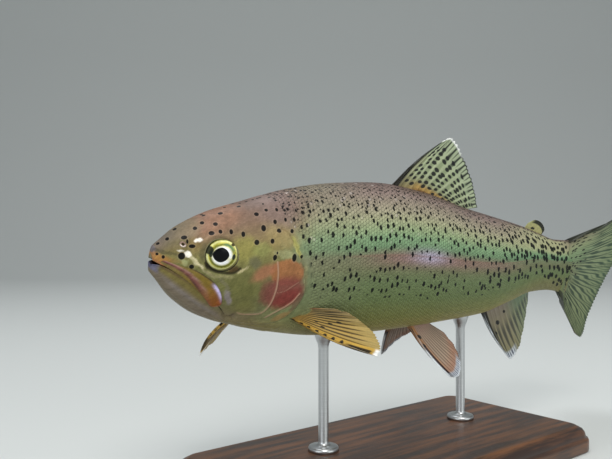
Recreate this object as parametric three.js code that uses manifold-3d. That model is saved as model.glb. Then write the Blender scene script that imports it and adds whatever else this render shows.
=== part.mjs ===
// A rainbow trout, life size and still, swimming over a plain display stand.
//
// Millimetres, +X from snout to tail, +Z up, the left flank towards -Y. The origin is the middle
// of the stand's underside. Each piece of the fish is shaped in a straight "body frame" (x from
// the snout, y to the right flank, z to the back), where cuts are simple. Then its vertices are
// carried onto the bent spine, and the whole fish is banked and pitched over its stand.
import * as THREE from "three";
import { mergeVertices } from "three/addons/utils/BufferGeometryUtils.js";
import loadManifold from "manifold-3d";

const wasm = await loadManifold();
wasm.setup();

const { clamp, degToRad, lerp, smoothstep } = THREE.MathUtils;

// ---------------------------------------------------------------- driving dimensions

const STANDARD_LENGTH = 345; // snout to the end of the tail stalk

// The body's outline: distance from the snout, back above and belly below the axis, half width.
const STATIONS = [
  { at: 0, back: 1.5, belly: 1, half: 0 },
  { at: 6, back: 9.2, belly: 10, half: 6.2 },
  { at: 16, back: 16.6, belly: 20, half: 10.8 },
  { at: 30, back: 23.5, belly: 28.5, half: 15 }, // eyes
  { at: 50, back: 30, belly: 34.5, half: 19 },
  { at: 80, back: 39, belly: 41, half: 22 }, // rear edge of the gill covers
  { at: 110, back: 44, belly: 44.5, half: 23.5 },
  { at: 145, back: 46.5, belly: 45, half: 24 }, // deepest, just ahead of the dorsal fin
  { at: 180, back: 43.5, belly: 43.5, half: 23.5 },
  { at: 215, back: 37, belly: 40.5, half: 21 },
  { at: 250, back: 32, belly: 36.5, half: 17 },
  { at: 280, back: 27.5, belly: 27.5, half: 12 },
  { at: 302, back: 23, belly: 20.5, half: 8.5 },
  { at: 322, back: 19.5, belly: 19, half: 6 }, // thinnest part of the tail stalk
  { at: STANDARD_LENGTH, back: 19.5, belly: 21.5, half: 4 },
];
const WIDEST_LEVEL = 0.51; // of the depth above the belly
const FLANK_ROUNDNESS = 0.9; // under 1 is fuller than an ellipse

const SECTION_SIDES = 26;
const SNOUT_START = 1.2; // the first ring, just behind the blunt tip
const HEAD_RINGS = 17;
const HEAD_END = 80;
const TRUNK_RINGS = 24;

const SEAM = 0.35; // clear gap between neighbouring pieces
const TRUNK_CUT = 258; // where the trunk gives way to the tail stalk

// The swimming bend: each turn of the spine grows smoothly between two places on the body.
const BEND = {
  flank: [
    { from: 90, to: STANDARD_LENGTH, turn: degToRad(-6.7) }, // towards the left
    { from: 230, to: STANDARD_LENGTH, turn: degToRad(3.4) }, // and part of the way back
  ],
  twist: { from: 230, to: STANDARD_LENGTH, turn: degToRad(-5.3) },
};
const BANK = degToRad(15.15); // back leans towards the left
const PITCH = degToRad(1.9); // nose up

// Each eyeball is a flattened ball, turned to face a little forwards.
const EYE = {
  at: 32.6,
  level: 6.2,
  out: 10.4,
  long: 8.2,
  high: 7.7,
  deep: 5.2,
  turn: degToRad(13),
  segments: 14,
};

const MAXILLA_LIFT = 0.9;
const MAXILLA_DEPTH = 2.2;
const COVER_LIFT = 0.5;
const COVER_DEPTH = 3;

const MOUTH_OPEN = 2.2; // at the snout
const MOUTH_OPEN_END = 15; // where the lips meet

const STAND = {
  length: 250,
  width: 124,
  height: 16,
  corner: 14,
  chamfer: 1.6,
  rodRadius: 3,
  footRadius: 9,
  footHeight: 3,
  cupRadius: 5.5,
  cupHeight: 5,
};
const SNOUT_HEIGHT = 132; // above the floor
const BALANCE = 168; // distance from the snout that sits over the middle of the stand
const ROD_PLACES = [
  { name: "stand_rod_front", at: 120 },
  { name: "stand_rod_rear", at: 238 },
];

const COLOURS = {
  back: 0x6b6350,
  flank: 0x7d8a5a,
  cheek: 0xa3604a,
  jaw: 0x9a9078,
  maxilla: 0xa07a2c,
  eye: 0xb9b04e,
  dorsal: 0xa9b06a,
  adipose: 0x9a8f45,
  tail: 0x6d6a3c,
  pectoral: 0xb4913f,
  pelvic: 0xb07a55,
  anal: 0x8c8462,
  wood: 0x4a3020,
  steel: 0xb5b7ba,
};

// ---------------------------------------------------------------- curves

// A smooth curve through the points that never overshoots them.
function curveThrough(xs, ys) {
  const steps = xs.slice(1).map((x, i) => x - xs[i]);
  const slopes = steps.map((step, i) => (ys[i + 1] - ys[i]) / step);
  const tangents = xs.map((_, i) => {
    if (i === 0) return slopes[0];
    if (i === xs.length - 1) return slopes[i - 1];
    const [before, after] = [slopes[i - 1], slopes[i]];
    if (before * after <= 0) return 0;
    const nearBefore = 2 * steps[i] + steps[i - 1];
    const nearAfter = steps[i] + 2 * steps[i - 1];
    return (nearBefore + nearAfter) / (nearBefore / before + nearAfter / after);
  });
  return (x) => {
    const inside = clamp(x, xs[0], xs[xs.length - 1]);
    const next = xs.findIndex((knot) => knot >= inside);
    const i = Math.max(next - 1, 0);
    const t = (inside - xs[i]) / steps[i];
    const rise = t * t * (3 - 2 * t);
    return (
      lerp(ys[i], ys[i + 1], rise) +
      steps[i] * t * (1 - t) * ((1 - t) * tangents[i] - t * tangents[i + 1])
    );
  };
}

// The outline grows with the square root of the distance at the snout, which makes it round.
const knots = STATIONS.map((station) => Math.sqrt(station.at));
const outlineOf = (key) => {
  const curve = curveThrough(knots, STATIONS.map((station) => station[key]));
  return (x) => curve(Math.sqrt(Math.max(x, 0)));
};
const back = outlineOf("back");
const belly = outlineOf("belly");
const half = outlineOf("half");

// The closed line between the lips, seen from the side: the level of the mouth at a distance.
const mouthLine = curveThrough([0, 7, 15, 27, 36, 44], [-0.9, -2.4, -5.6, -13.2, -20.5, -28]);
const mouthGap = (x) => SEAM + MOUTH_OPEN * (1 - smoothstep(x, 0, MOUTH_OPEN_END));

// ---------------------------------------------------------------- solids

// A closed surface as a manifold-3d solid.
function solidOf(geometry) {
  const bare = geometry.clone();
  bare.deleteAttribute("normal");
  bare.deleteAttribute("uv");
  const merged = mergeVertices(bare, 1e-4);
  const make = (triVerts) =>
    new wasm.Manifold(
      new wasm.Mesh({
        numProp: 3,
        vertProperties: merged.getAttribute("position").array,
        triVerts,
      }),
    );
  const faces = new Uint32Array(merged.index.array);
  const solid = make(faces);
  if (solid.volume() > 0) return solid;
  for (let i = 0; i < faces.length; i += 3)
    [faces[i + 1], faces[i + 2]] = [faces[i + 2], faces[i + 1]];
  return make(faces);
}

// Back to a three.js geometry, keeping only the largest body of what a cut has left.
function geometryOf(solid) {
  const bodies = solid.decompose().sort((a, b) => b.volume() - a.volume());
  const mesh = bodies[0].getMesh();
  const geometry = new THREE.BufferGeometry();
  geometry.setAttribute("position", new THREE.BufferAttribute(mesh.vertProperties, 3));
  geometry.setIndex(new THREE.BufferAttribute(mesh.triVerts, 1));
  return geometry;
}

// A closed skin over a stack of rings that all have the same number of points.
function loft(rings) {
  const count = rings[0].length;
  const points = rings.flat();
  const faces = [];
  const at = (ring, i) => ring * count + (i % count);
  for (let ring = 0; ring < rings.length - 1; ring++)
    for (let i = 0; i < count; i++) {
      faces.push(at(ring, i), at(ring + 1, i), at(ring + 1, i + 1));
      faces.push(at(ring, i), at(ring + 1, i + 1), at(ring, i + 1));
    }
  for (const [ring, flip] of [[0, false], [rings.length - 1, true]]) {
    const middle = rings[ring]
      .reduce((sum, point) => sum.add(point), new THREE.Vector3())
      .divideScalar(count);
    points.push(middle);
    for (let i = 0; i < count; i++) {
      const [a, b] = flip ? [at(ring, i + 1), at(ring, i)] : [at(ring, i), at(ring, i + 1)];
      faces.push(points.length - 1, a, b);
    }
  }
  const geometry = new THREE.BufferGeometry().setFromPoints(points);
  geometry.setIndex(faces);
  return geometry;
}

// One section of the body, swollen by lift on every side.
function section(x, lift) {
  const top = back(x) + lift;
  const bottom = -belly(x) - lift;
  const side = Math.max(half(x) + lift, 0.15);
  const widest = lerp(bottom, top, WIDEST_LEVEL);
  return Array.from({ length: SECTION_SIDES }, (_, i) => {
    const angle = (2 * Math.PI * i) / SECTION_SIDES;
    const out = Math.sin(angle);
    const up = Math.cos(angle);
    const y = side * Math.sign(out) * Math.abs(out) ** FLANK_ROUNDNESS;
    const reach = up > 0 ? Math.max(top - widest, 0.1) : Math.max(widest - bottom, 0.1);
    return new THREE.Vector3(x, y, widest + reach * up);
  });
}

const ringPlaces = [
  ...Array.from({ length: HEAD_RINGS }, (_, i) =>
    lerp(SNOUT_START, HEAD_END, (i / HEAD_RINGS) ** 1.7),
  ),
  HEAD_END,
  ...Array.from({ length: TRUNK_RINGS }, (_, i) =>
    lerp(HEAD_END, STANDARD_LENGTH, (i + 1) / TRUNK_RINGS),
  ),
];

// The whole body, swollen by lift, or shrunk where lift is negative.
function bodySolid(lift) {
  const rings = ringPlaces.map((x) => section(x, lift));
  for (const point of rings[0]) point.x -= lift;
  for (const point of rings.at(-1)) point.x += lift;
  return solidOf(loft(rings));
}

// The points of a flat outline moved outwards by a distance.
function grown(outline, distance) {
  const turns = THREE.ShapeUtils.isClockWise(outline) ? -1 : 1;
  return outline.map((point, i) => {
    const before = outline[(i + outline.length - 1) % outline.length];
    const after = outline[(i + 1) % outline.length];
    const along = after.clone().sub(before).normalize();
    return new THREE.Vector2(
      point.x + along.y * distance * turns,
      point.y - along.x * distance * turns,
    );
  });
}

// A side-view outline (distance, level) pushed through one flank, or through both.
const REACH = 70;
function prism(outline, side) {
  const from = side > 0 ? 0 : -REACH;
  const depth = side === 0 ? 2 * REACH : REACH;
  const shape = new THREE.Shape(outline);
  const geometry = new THREE.ExtrudeGeometry(shape, { depth, bevelEnabled: false });
  geometry.rotateX(Math.PI / 2); // its own y becomes z, and its depth runs along -y
  geometry.translate(0, from + depth, 0);
  return solidOf(geometry);
}

// A smooth closed outline through a few side-view points.
function roundOutline(points, count) {
  const curve = new THREE.CatmullRomCurve3(
    points.map(([x, z]) => new THREE.Vector3(x, z, 0)),
    true,
    "centripetal",
  );
  return curve
    .getPoints(count)
    .slice(0, count)
    .map((point) => new THREE.Vector2(point.x, point.y));
}

function eyeball(side, lift) {
  const ball = new THREE.SphereGeometry(1, EYE.segments, Math.round(EYE.segments * 0.6));
  ball.scale(EYE.long + lift, EYE.deep + lift, EYE.high + lift);
  ball.rotateZ(side * EYE.turn);
  ball.translate(EYE.at, side * EYE.out, EYE.level);
  return solidOf(ball);
}

// ---------------------------------------------------------------- pose

// The spine as points one millimetre apart, with the heading of the body at each.
const spine = (() => {
  const points = [];
  const place = new THREE.Vector2();
  for (let x = 0; x <= STANDARD_LENGTH; x++) {
    const heading = BEND.flank.reduce(
      (sum, { from, to, turn }) => sum + turn * smoothstep(x, from, to),
      0,
    );
    points.push({ place: place.clone(), heading });
    place.x += Math.cos(heading);
    place.y += Math.sin(heading);
  }
  return points;
})();

// Carries a point of the straight body frame onto the bent spine.
function bend(point) {
  const along = clamp(point.x, 0, STANDARD_LENGTH);
  const i = Math.min(Math.floor(along), STANDARD_LENGTH - 1);
  const t = along - i;
  const heading = lerp(spine[i].heading, spine[i + 1].heading, t);
  const place = spine[i].place.clone().lerp(spine[i + 1].place, t);
  const past = point.x - along;
  const twist = BEND.twist.turn * smoothstep(point.x, BEND.twist.from, BEND.twist.to);
  const out = point.y * Math.cos(twist) - point.z * Math.sin(twist);
  const up = point.y * Math.sin(twist) + point.z * Math.cos(twist);
  return new THREE.Vector3(
    place.x + past * Math.cos(heading) - out * Math.sin(heading),
    place.y + past * Math.sin(heading) + out * Math.cos(heading),
    up,
  );
}

function posed(geometry) {
  const position = geometry.getAttribute("position");
  const point = new THREE.Vector3();
  for (let i = 0; i < position.count; i++) {
    const carried = bend(point.fromBufferAttribute(position, i));
    position.setXYZ(i, carried.x, carried.y, carried.z);
  }
  return geometry;
}

// ---------------------------------------------------------------- head

const V = (x, y, z) => new THREE.Vector3(x, y, z);
const pieces = []; // { name, solid, colour }, in the straight body frame

const COVER_OUTLINE = [
  [52, -4], [54, 8], [57.5, 17], [63, 20], [69, 14.5], [74.5, 6], [78.5, -3],
  [80.5, -13], [79.5, -22], [73, -30.5], [63, -33.5], [53, -28], [50.5, -16],
];
const MAXILLA_OUTLINE = [
  [7, 0.8], [15, -2.4], [26, -10], [35.5, -15.5], [38.5, -19.5], [34.5, -21],
  [26, -16.6], [15, -7.4], [7.5, -2.6],
];

const coverOutline = roundOutline(COVER_OUTLINE, 30);
const maxillaOutline = roundOutline(MAXILLA_OUTLINE, 22);

const FAR_BELOW = -60;
const FAR_ABOVE = 60;

// Everything ahead of the line from the nape down behind the gill covers to the throat.
const HEAD_REAR = [
  [64, FAR_ABOVE], [64, 30], [67.5, 21], [72, 16], [77, 7], [81, -3], [83, -13],
  [82, -23], [75, -33], [70, -40], [70, FAR_BELOW],
];
const headRegion = (gap) =>
  prism(
    [[-5, FAR_BELOW], [-5, FAR_ABOVE], ...HEAD_REAR.map(([x, z]) => [x + gap, z])].map(
      ([x, z]) => new THREE.Vector2(x, z),
    ),
    0,
  );

// The lower jaw: below the mouth line, back to the jaw joint and down to the throat.
const JAW_JOINT = 40;
const JAW_THROAT = 47;
function jawRegion(share, gap) {
  const upper = [-5, 0, 2, 4, 7, 11, 15, 20, 27, 33, JAW_JOINT].map((x) => [
    x,
    mouthLine(x) + share * mouthGap(x) * 0.5,
  ]);
  const outline = [...upper, [JAW_THROAT + gap, -42], [JAW_THROAT + gap, FAR_BELOW], [-5, FAR_BELOW]];
  outline[upper.length - 1][0] += gap;
  return prism(outline.map(([x, z]) => new THREE.Vector2(x, z)), 0);
}

const body = bodySolid(0);
const clearance = bodySolid(SEAM);

const coverShell = bodySolid(COVER_LIFT);
const coverBed = bodySolid(-COVER_DEPTH);
const coverBedCut = bodySolid(-COVER_DEPTH - SEAM);
const maxillaShell = bodySolid(MAXILLA_LIFT);
const maxillaBed = bodySolid(-MAXILLA_DEPTH);
const maxillaBedCut = bodySolid(-MAXILLA_DEPTH - SEAM);

let head = body.intersect(headRegion(-SEAM));
let jaw = body.intersect(jawRegion(-1, 0));
head = head.subtract(jawRegion(1, SEAM));

for (const [word, side] of [["left", -1], ["right", 1]]) {
  const cover = coverShell.intersect(prism(coverOutline, side)).subtract(coverBed);
  pieces.push({ name: "gill_cover_" + word, solid: cover, colour: COLOURS.cheek });
  head = head.subtract(prism(grown(coverOutline, SEAM), side).subtract(coverBedCut));

  const maxilla = maxillaShell.intersect(prism(maxillaOutline, side)).subtract(maxillaBed);
  pieces.push({ name: "maxilla_" + word, solid: maxilla, colour: COLOURS.maxilla });
  const bed = prism(grown(maxillaOutline, SEAM), side).subtract(maxillaBedCut);
  head = head.subtract(bed);
  jaw = jaw.subtract(bed);

  pieces.push({ name: "eye_" + word, solid: eyeball(side, 0), colour: COLOURS.eye });
  head = head.subtract(eyeball(side, SEAM));
}
pieces.push({ name: "head", solid: head, colour: COLOURS.back });
pieces.push({ name: "lower_jaw", solid: jaw, colour: COLOURS.jaw });

// ---------------------------------------------------------------- trunk and tail stalk

const box = (from, to) => prism(
  [[from, FAR_BELOW], [from, FAR_ABOVE], [to, FAR_ABOVE], [to, FAR_BELOW]].map(
    ([x, z]) => new THREE.Vector2(x, z),
  ),
  0,
);
const trunk = body.subtract(headRegion(0)).subtract(box(TRUNK_CUT, STANDARD_LENGTH + 10));
const stalk = body.intersect(box(TRUNK_CUT + SEAM, STANDARD_LENGTH + 10));
pieces.push({ name: "trunk", solid: trunk, colour: COLOURS.flank });
pieces.push({ name: "tail_stalk", solid: stalk, colour: COLOURS.flank });

// ---------------------------------------------------------------- fins

const FIN_RAYS = 10;
const FIN_STEPS = 5;

// A thin closed plate spread between a root line and a margin. Both run from the leading ray
// (0) to the last ray (1), the leading ray is bowed, and the plate thins towards the rim.
function finSolid({ root, margin, rootThickness, rimThickness, bow, place = straightRay }) {
  const marginCurve = new THREE.CatmullRomCurve3(margin, false, "centripetal");
  const rootCurve = new THREE.CatmullRomCurve3(root, false, "centripetal");
  const middle = (u, v) =>
    place(rootCurve.getPoint(u), marginCurve.getPoint(u), v).addScaledVector(
      bow,
      Math.sin(Math.PI * v) * (1 - u) ** 2,
    );
  const sheet = (side) =>
    Array.from({ length: FIN_RAYS + 1 }, (_, i) =>
      Array.from({ length: FIN_STEPS + 1 }, (_, j) => {
        const [u, v] = [i / FIN_RAYS, j / FIN_STEPS];
        const step = 0.01;
        const across = middle(Math.min(u + step, 1), v).sub(middle(Math.max(u - step, 0), v));
        const outward = middle(u, Math.min(v + step, 1)).sub(middle(u, Math.max(v - step, 0)));
        const normal = across.cross(outward).normalize();
        const thickness = lerp(rootThickness, rimThickness, Math.min(v * 1.6, 1));
        return middle(u, v).addScaledVector(normal, (side * thickness) / 2);
      }),
    );
  const [front, rear] = [sheet(1), sheet(-1)];
  // Each ray is a flat loop: out along one face and back along the other.
  const rings = front.map((ray, i) => [...ray, ...rear[i].slice().reverse()]);
  return solidOf(loft(rings));
}
function straightRay(from, to, v) {
  return from.clone().lerp(to, v);
}

const SUNK = 4; // how far a fin's root starts inside the body before it is cut clear of it
const onBack = (x) => V(x, 0, back(x) - SUNK);
const onBelly = (x) => V(x, 0, SUNK - belly(x));

const FINS = [
  {
    name: "dorsal_fin",
    colour: COLOURS.dorsal,
    root: [onBack(147.5), onBack(178), onBack(208.5)],
    bow: V(-1.8, 0, 1.4),
    margin: [V(185, 0, 76.8), V(191, 0, 79), V(206.5, 0, 67), V(220, 0, 52), V(229, 0, 37.5)],
    rootThickness: 3.4,
    rimThickness: 0.7,
  },
  {
    name: "adipose_fin",
    colour: COLOURS.adipose,
    root: [onBack(281), onBack(291), onBack(300)],
    bow: V(0, 0, 0),
    margin: [V(287, 0, 31), V(294, 0, 34), V(302, 0, 31.5), V(306.5, 0, 26.5), V(304.5, 0, 23.5)],
    rootThickness: 3,
    rimThickness: 1.2,
  },
  {
    name: "anal_fin",
    colour: COLOURS.anal,
    root: [onBelly(254.5), onBelly(278), onBelly(301)],
    bow: V(-1.5, 0, -1.5),
    margin: [
      V(294, 1, -68.5), V(300.5, 2, -72.6), V(309, 4, -65.5), V(314, 7, -53), V(317.5, 10, -40),
      V(318, 11, -29),
    ],
    rootThickness: 3,
    rimThickness: 0.7,
  },
  {
    name: "pectoral_fin_left",
    colour: COLOURS.pectoral,
    bow: V(0, 0, -2.6),
    root: [V(79, -15, -27.5), V(82, -16, -25.5), V(86, -17, -22)],
    margin: [
      V(129, -37.5, -44.5), V(131.5, -36.5, -41), V(129.5, -32, -34), V(120, -28, -27),
      V(111, -26.5, -22.5), V(100, -25.5, -20),
    ],
    rootThickness: 3.2,
    rimThickness: 0.7,
  },
  {
    name: "pectoral_fin_right",
    colour: COLOURS.pectoral,
    bow: V(-7, 3, -2.5),
    root: [V(79, 15, -27.5), V(82, 16, -25.5), V(86, 17, -22)],
    margin: [
      V(67.5, 45, -74), V(70.5, 48, -73), V(77.5, 50, -69), V(86, 50.5, -58.5), V(92, 46.5, -46.5),
      V(94.5, 39, -36),
    ],
    rootThickness: 3.2,
    rimThickness: 0.7,
  },
  {
    name: "pelvic_fin_left",
    colour: COLOURS.pelvic,
    bow: V(-1.5, 0, -1.5),
    root: [V(181, -7.5, -39.5), V(191, -6.5, -39.5), V(199, -5.5, -39)],
    margin: [
      V(212, -25.5, -70), V(216, -28.5, -68.8), V(220.5, -25.5, -65), V(224, -19.5, -60),
      V(224, -12.5, -54), V(217, -6.5, -46.5),
    ],
    rootThickness: 3,
    rimThickness: 0.7,
  },
  {
    name: "pelvic_fin_right",
    colour: COLOURS.pelvic,
    bow: V(-1.5, 0, -1.5),
    root: [V(181, 7.5, -39.5), V(191, 6.5, -39.5), V(199, 5.5, -39)],
    margin: [
      V(201, 28.5, -77), V(205, 30, -76), V(209.5, 29, -70), V(213, 25, -63), V(214.5, 17, -55),
      V(212, 9.5, -47.5),
    ],
    rootThickness: 3,
    rimThickness: 0.7,
  },
];

// The tail fin is laid out flat, by distance past the stalk and height, then swept and twisted.
const TAIL = {
  start: 338,
  rootHeight: 17.5,
  lobe: { out: 51, up: 64.5 },
  sweep: -18.6, // of its rear edge at TAIL.span, towards the left
  span: 60,
  twist: degToRad(20), // top towards the left
  twistGrows: 20,
  level: 0.5,
  hug: 0.7, // how much the rays spread at first, out of a full straight spread
};
const tailMargin = [
  [0.82, 0.93], [0.97, 0.995], [1.0, 0.95], [0.965, 0.7], [0.925, 0.4], [0.9, 0.12],
];
const upperLobe = tailMargin.map(([out, up]) => V(TAIL.lobe.out * out, 0, TAIL.lobe.up * up));
const lowerLobe = upperLobe.map((point) => V(point.x, 0, -point.z)).reverse();

// A tail ray runs out from the stalk, hugging the middle first and flaring near the tip.
function tailRay(from, to, v) {
  const out = lerp(from.x, to.x, v);
  const up = lerp(from.z, to.z, v * lerp(TAIL.hug, 1, v));
  const twist = TAIL.twist * smoothstep(out, 0, TAIL.twistGrows);
  const sweep = TAIL.sweep * (Math.max(out, 0) / TAIL.span) ** 2;
  return V(
    TAIL.start + out,
    sweep - up * Math.sin(twist),
    up * Math.cos(twist) - TAIL.level,
  );
}
FINS.push({
  name: "caudal_fin",
  colour: COLOURS.tail,
  root: [V(1, 0, TAIL.rootHeight), V(0, 0, 0), V(1, 0, -TAIL.rootHeight)],
  margin: [...upperLobe, ...lowerLobe],
  rootThickness: 6,
  rimThickness: 0.8,
  bow: V(0, 0, 0),
  place: tailRay,
});

for (const fin of FINS)
  pieces.push({
    name: fin.name,
    solid: finSolid(fin).subtract(clearance),
    colour: fin.colour,
  });

// ---------------------------------------------------------------- assembly

const model = new THREE.Group();

const fish = new THREE.Group();
fish.rotation.set(BANK, PITCH, 0, "YXZ");
fish.position.set(-BALANCE, 0, SNOUT_HEIGHT);
model.add(fish);
for (const { name, solid, colour } of pieces) {
  const geometry = posed(geometryOf(solid));
  geometry.computeVertexNormals();
  const material = new THREE.MeshStandardMaterial({
    color: colour,
    roughness: 0.4,
    metalness: 0,
    flatShading: true,
  });
  const mesh = new THREE.Mesh(geometry, material);
  mesh.name = name;
  fish.add(mesh);
}

// ---------------------------------------------------------------- stand

function standBase() {
  const [x, y, r] = [STAND.length / 2, STAND.width / 2, STAND.corner];
  const shape = new THREE.Shape();
  shape.moveTo(-x + r, -y);
  shape.lineTo(x - r, -y);
  shape.absarc(x - r, -y + r, r, -Math.PI / 2, 0);
  shape.lineTo(x, y - r);
  shape.absarc(x - r, y - r, r, 0, Math.PI / 2);
  shape.lineTo(-x + r, y);
  shape.absarc(-x + r, y - r, r, Math.PI / 2, Math.PI);
  shape.lineTo(-x, -y + r);
  shape.absarc(-x + r, -y + r, r, Math.PI, 1.5 * Math.PI);
  const rim = shape.extractPoints(6).shape;
  const ringAt = (inset, z) => grown(rim, -inset).map((point) => V(point.x, point.y, z));
  return loft([
    ringAt(STAND.chamfer / 2, 0),
    ringAt(0, STAND.chamfer / 2),
    ringAt(0, STAND.height - STAND.chamfer),
    ringAt(STAND.chamfer, STAND.height),
  ]);
}

// A rod with a foot plate and a cup that is cut to the belly it carries.
function standRod(place, bellyPiece) {
  const top = place.z + STAND.cupHeight;
  const bottom = STAND.height;
  const profile = [
    [0, bottom],
    [STAND.footRadius, bottom],
    [STAND.footRadius, bottom + STAND.footHeight - 1],
    [STAND.footRadius - 1, bottom + STAND.footHeight],
    [STAND.rodRadius, bottom + STAND.footHeight],
    [STAND.rodRadius, place.z - STAND.cupHeight],
    [STAND.cupRadius, place.z - STAND.cupHeight / 2],
    [STAND.cupRadius, top],
    [0, top],
  ].map(([radius, height]) => new THREE.Vector2(radius, height));
  const rod = new THREE.LatheGeometry(profile, 20);
  rod.rotateX(Math.PI / 2); // the lathe turns about y: stand it up along z
  rod.translate(place.x, place.y, 0);
  return geometryOf(solidOf(rod).subtract(bellyPiece));
}

fish.updateMatrixWorld(true);
const bellyPiece = solidOf(posed(geometryOf(clearance)).applyMatrix4(fish.matrixWorld));
const addStandPiece = (name, geometry, material) => {
  geometry.computeVertexNormals();
  const mesh = new THREE.Mesh(geometry, material);
  mesh.name = name;
  model.add(mesh);
};
addStandPiece(
  "stand_base",
  geometryOf(solidOf(standBase())),
  new THREE.MeshStandardMaterial({ color: COLOURS.wood, roughness: 0.5, metalness: 0 }),
);
for (const { name, at } of ROD_PLACES) {
  const lowest = bend(V(at, 0, -belly(at))).applyMatrix4(fish.matrixWorld);
  const steel = new THREE.MeshStandardMaterial({
    color: COLOURS.steel,
    roughness: 0.35,
    metalness: 1,
  });
  addStandPiece(name, standRod(lowest, bellyPiece), steel);
}

export default model;
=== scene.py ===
# %% [markdown]
# # A rainbow trout on a display stand
# A museum fish is cast, then painted: one smooth body, a coat of small scales, stiff rays in
# every fin, glass eyes. This lesson makes each of those in turn. The packed CAD model is loaded
# first, as the frame that everything else is measured against.

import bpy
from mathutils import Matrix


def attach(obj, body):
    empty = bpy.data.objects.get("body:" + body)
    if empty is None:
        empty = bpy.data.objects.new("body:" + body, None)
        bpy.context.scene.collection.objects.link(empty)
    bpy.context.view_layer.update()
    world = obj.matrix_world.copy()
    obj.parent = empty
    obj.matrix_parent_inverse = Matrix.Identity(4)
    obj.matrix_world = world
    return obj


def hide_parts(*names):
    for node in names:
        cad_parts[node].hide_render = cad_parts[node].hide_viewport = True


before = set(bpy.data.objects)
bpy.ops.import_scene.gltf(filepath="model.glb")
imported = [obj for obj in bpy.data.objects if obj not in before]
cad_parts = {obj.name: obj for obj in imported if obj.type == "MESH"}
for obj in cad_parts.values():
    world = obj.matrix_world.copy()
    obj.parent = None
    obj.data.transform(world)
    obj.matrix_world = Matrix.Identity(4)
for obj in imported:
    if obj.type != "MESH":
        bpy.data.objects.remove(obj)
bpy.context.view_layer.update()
print("CAD nodes:", len(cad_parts))

# %% Tools of this lesson
import math

import bpy
import numpy as np

MM = 0.001  # the body is worked out in millimetres, and Blender counts in metres
print("numpy", np.__version__)

# %% [markdown]
# ## The body's outline
# Seen from the side a trout is a long spindle. Three curves hold it: the back above the axis,
# the belly below it and the half width, each at a distance from the snout. A monotone cubic runs
# through a few measured stations without overshooting, so no bulge appears between them. The
# curves are drawn over the square root of the distance, which is what makes the snout round.

# %% A smooth curve through stations
def monotone(xs, ys):
    """A cubic between each pair of stations. Its slope at a station is the weighted harmonic
    mean of the slopes on both sides, or 0 where they change sign."""
    xs, ys = np.asarray(xs, float), np.asarray(ys, float)
    steps = np.diff(xs)
    slopes = np.diff(ys) / steps
    before, after = slopes[:-1], slopes[1:]
    near_before, near_after = 2 * steps[1:] + steps[:-1], steps[1:] + 2 * steps[:-1]
    agree = before * after > 0
    inner = (near_before + near_after) / (
        near_before / np.where(agree, before, 1) + near_after / np.where(agree, after, 1)
    )
    tangents = np.concatenate([slopes[:1], np.where(agree, inner, 0), slopes[-1:]])

    def curve(x):
        x = np.clip(x, xs[0], xs[-1])
        i = np.clip(np.searchsorted(xs, x) - 1, 0, len(steps) - 1)
        t = (x - xs[i]) / steps[i]
        rise = t * t * (3 - 2 * t)
        return (
            ys[i] + (ys[i + 1] - ys[i]) * rise
            + steps[i] * t * (1 - t) * ((1 - t) * tangents[i] - t * tangents[i + 1])
        )

    return curve


def smooth(low, high, x):
    """0 below low, 1 above high, and 3t^2 - 2t^3 between them."""
    t = np.clip((x - low) / (high - low), 0, 1)
    return t * t * (3 - 2 * t)


def blend(a, b, share):
    """a where share is 0, b where it is 1."""
    return a + (b - a) * share


STANDARD_LENGTH = 345.0
STATIONS = np.array([
    # at, back, belly, half width
    (0, 1.5, 1, 0), (6, 9.2, 10, 6.2), (16, 16.6, 20, 10.8), (30, 23.5, 28.5, 15),
    (50, 30, 34.5, 19), (80, 39, 41, 22), (110, 44, 44.5, 23.5), (145, 46.5, 45, 24),
    (180, 43.5, 43.5, 23.5), (215, 37, 40.5, 21), (250, 32, 36.5, 17), (280, 27.5, 27.5, 12),
    (302, 23, 20.5, 8.5), (322, 19.5, 19, 6), (STANDARD_LENGTH, 19.5, 21.5, 4),
])


def outline(column):
    """A station column as a function of the distance from the snout."""
    curve = monotone(np.sqrt(STATIONS[:, 0]), STATIONS[:, column])
    return lambda x: curve(np.sqrt(np.maximum(x, 0)))


back, belly, half = outline(1), outline(2), outline(3)
mouth_line = monotone([0, 7, 15, 27, 36, 44], [-0.9, -2.4, -5.6, -13.2, -20.5, -28])
print("deepest:", float(back(145) + belly(145)), "mm, widest:", float(2 * half(145)), "mm")

# %% [markdown]
# ## A chart of the flank
# Every later shape lies on this surface: scales, markings, the gill cover, the lips. So it is
# written once, as a point for a distance and an angle. The angle is 0 on the back and half a turn
# on the belly, positive on the right flank and negative on the left. A lift moves the point out
# along the surface's own normal, which comes from two small steps on the surface.

# %% The flank
WIDEST_LEVEL = 0.51  # of the depth above the belly
FLANK_ROUNDNESS = 0.9


def widest(x):
    return WIDEST_LEVEL * back(x) - (1 - WIDEST_LEVEL) * belly(x)


def narrowing(x):
    """The share of the half width that is left at the snout's tip and where the tail fin begins."""
    return blend(0.55, 1, smooth(0, 14, x)) * blend(1, 0.62, smooth(322, STANDARD_LENGTH, x))


def bare_flank(x, angle):
    """out = narrowed half * |sin|^0.9, up = the widest level + reach * cos."""
    x, angle = np.broadcast_arrays(x, angle)
    out, up = np.sin(angle), np.cos(angle)
    level = widest(x)
    reach = np.where(up > 0, back(x) - level, level + belly(x))
    return np.stack([
        x, narrowing(x) * half(x) * np.sign(out) * np.abs(out) ** FLANK_ROUNDNESS,
        level + reach * up
    ], -1)


def unit(vectors):
    return vectors / np.maximum(np.linalg.norm(vectors, axis=-1, keepdims=True), 1e-9)


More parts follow.
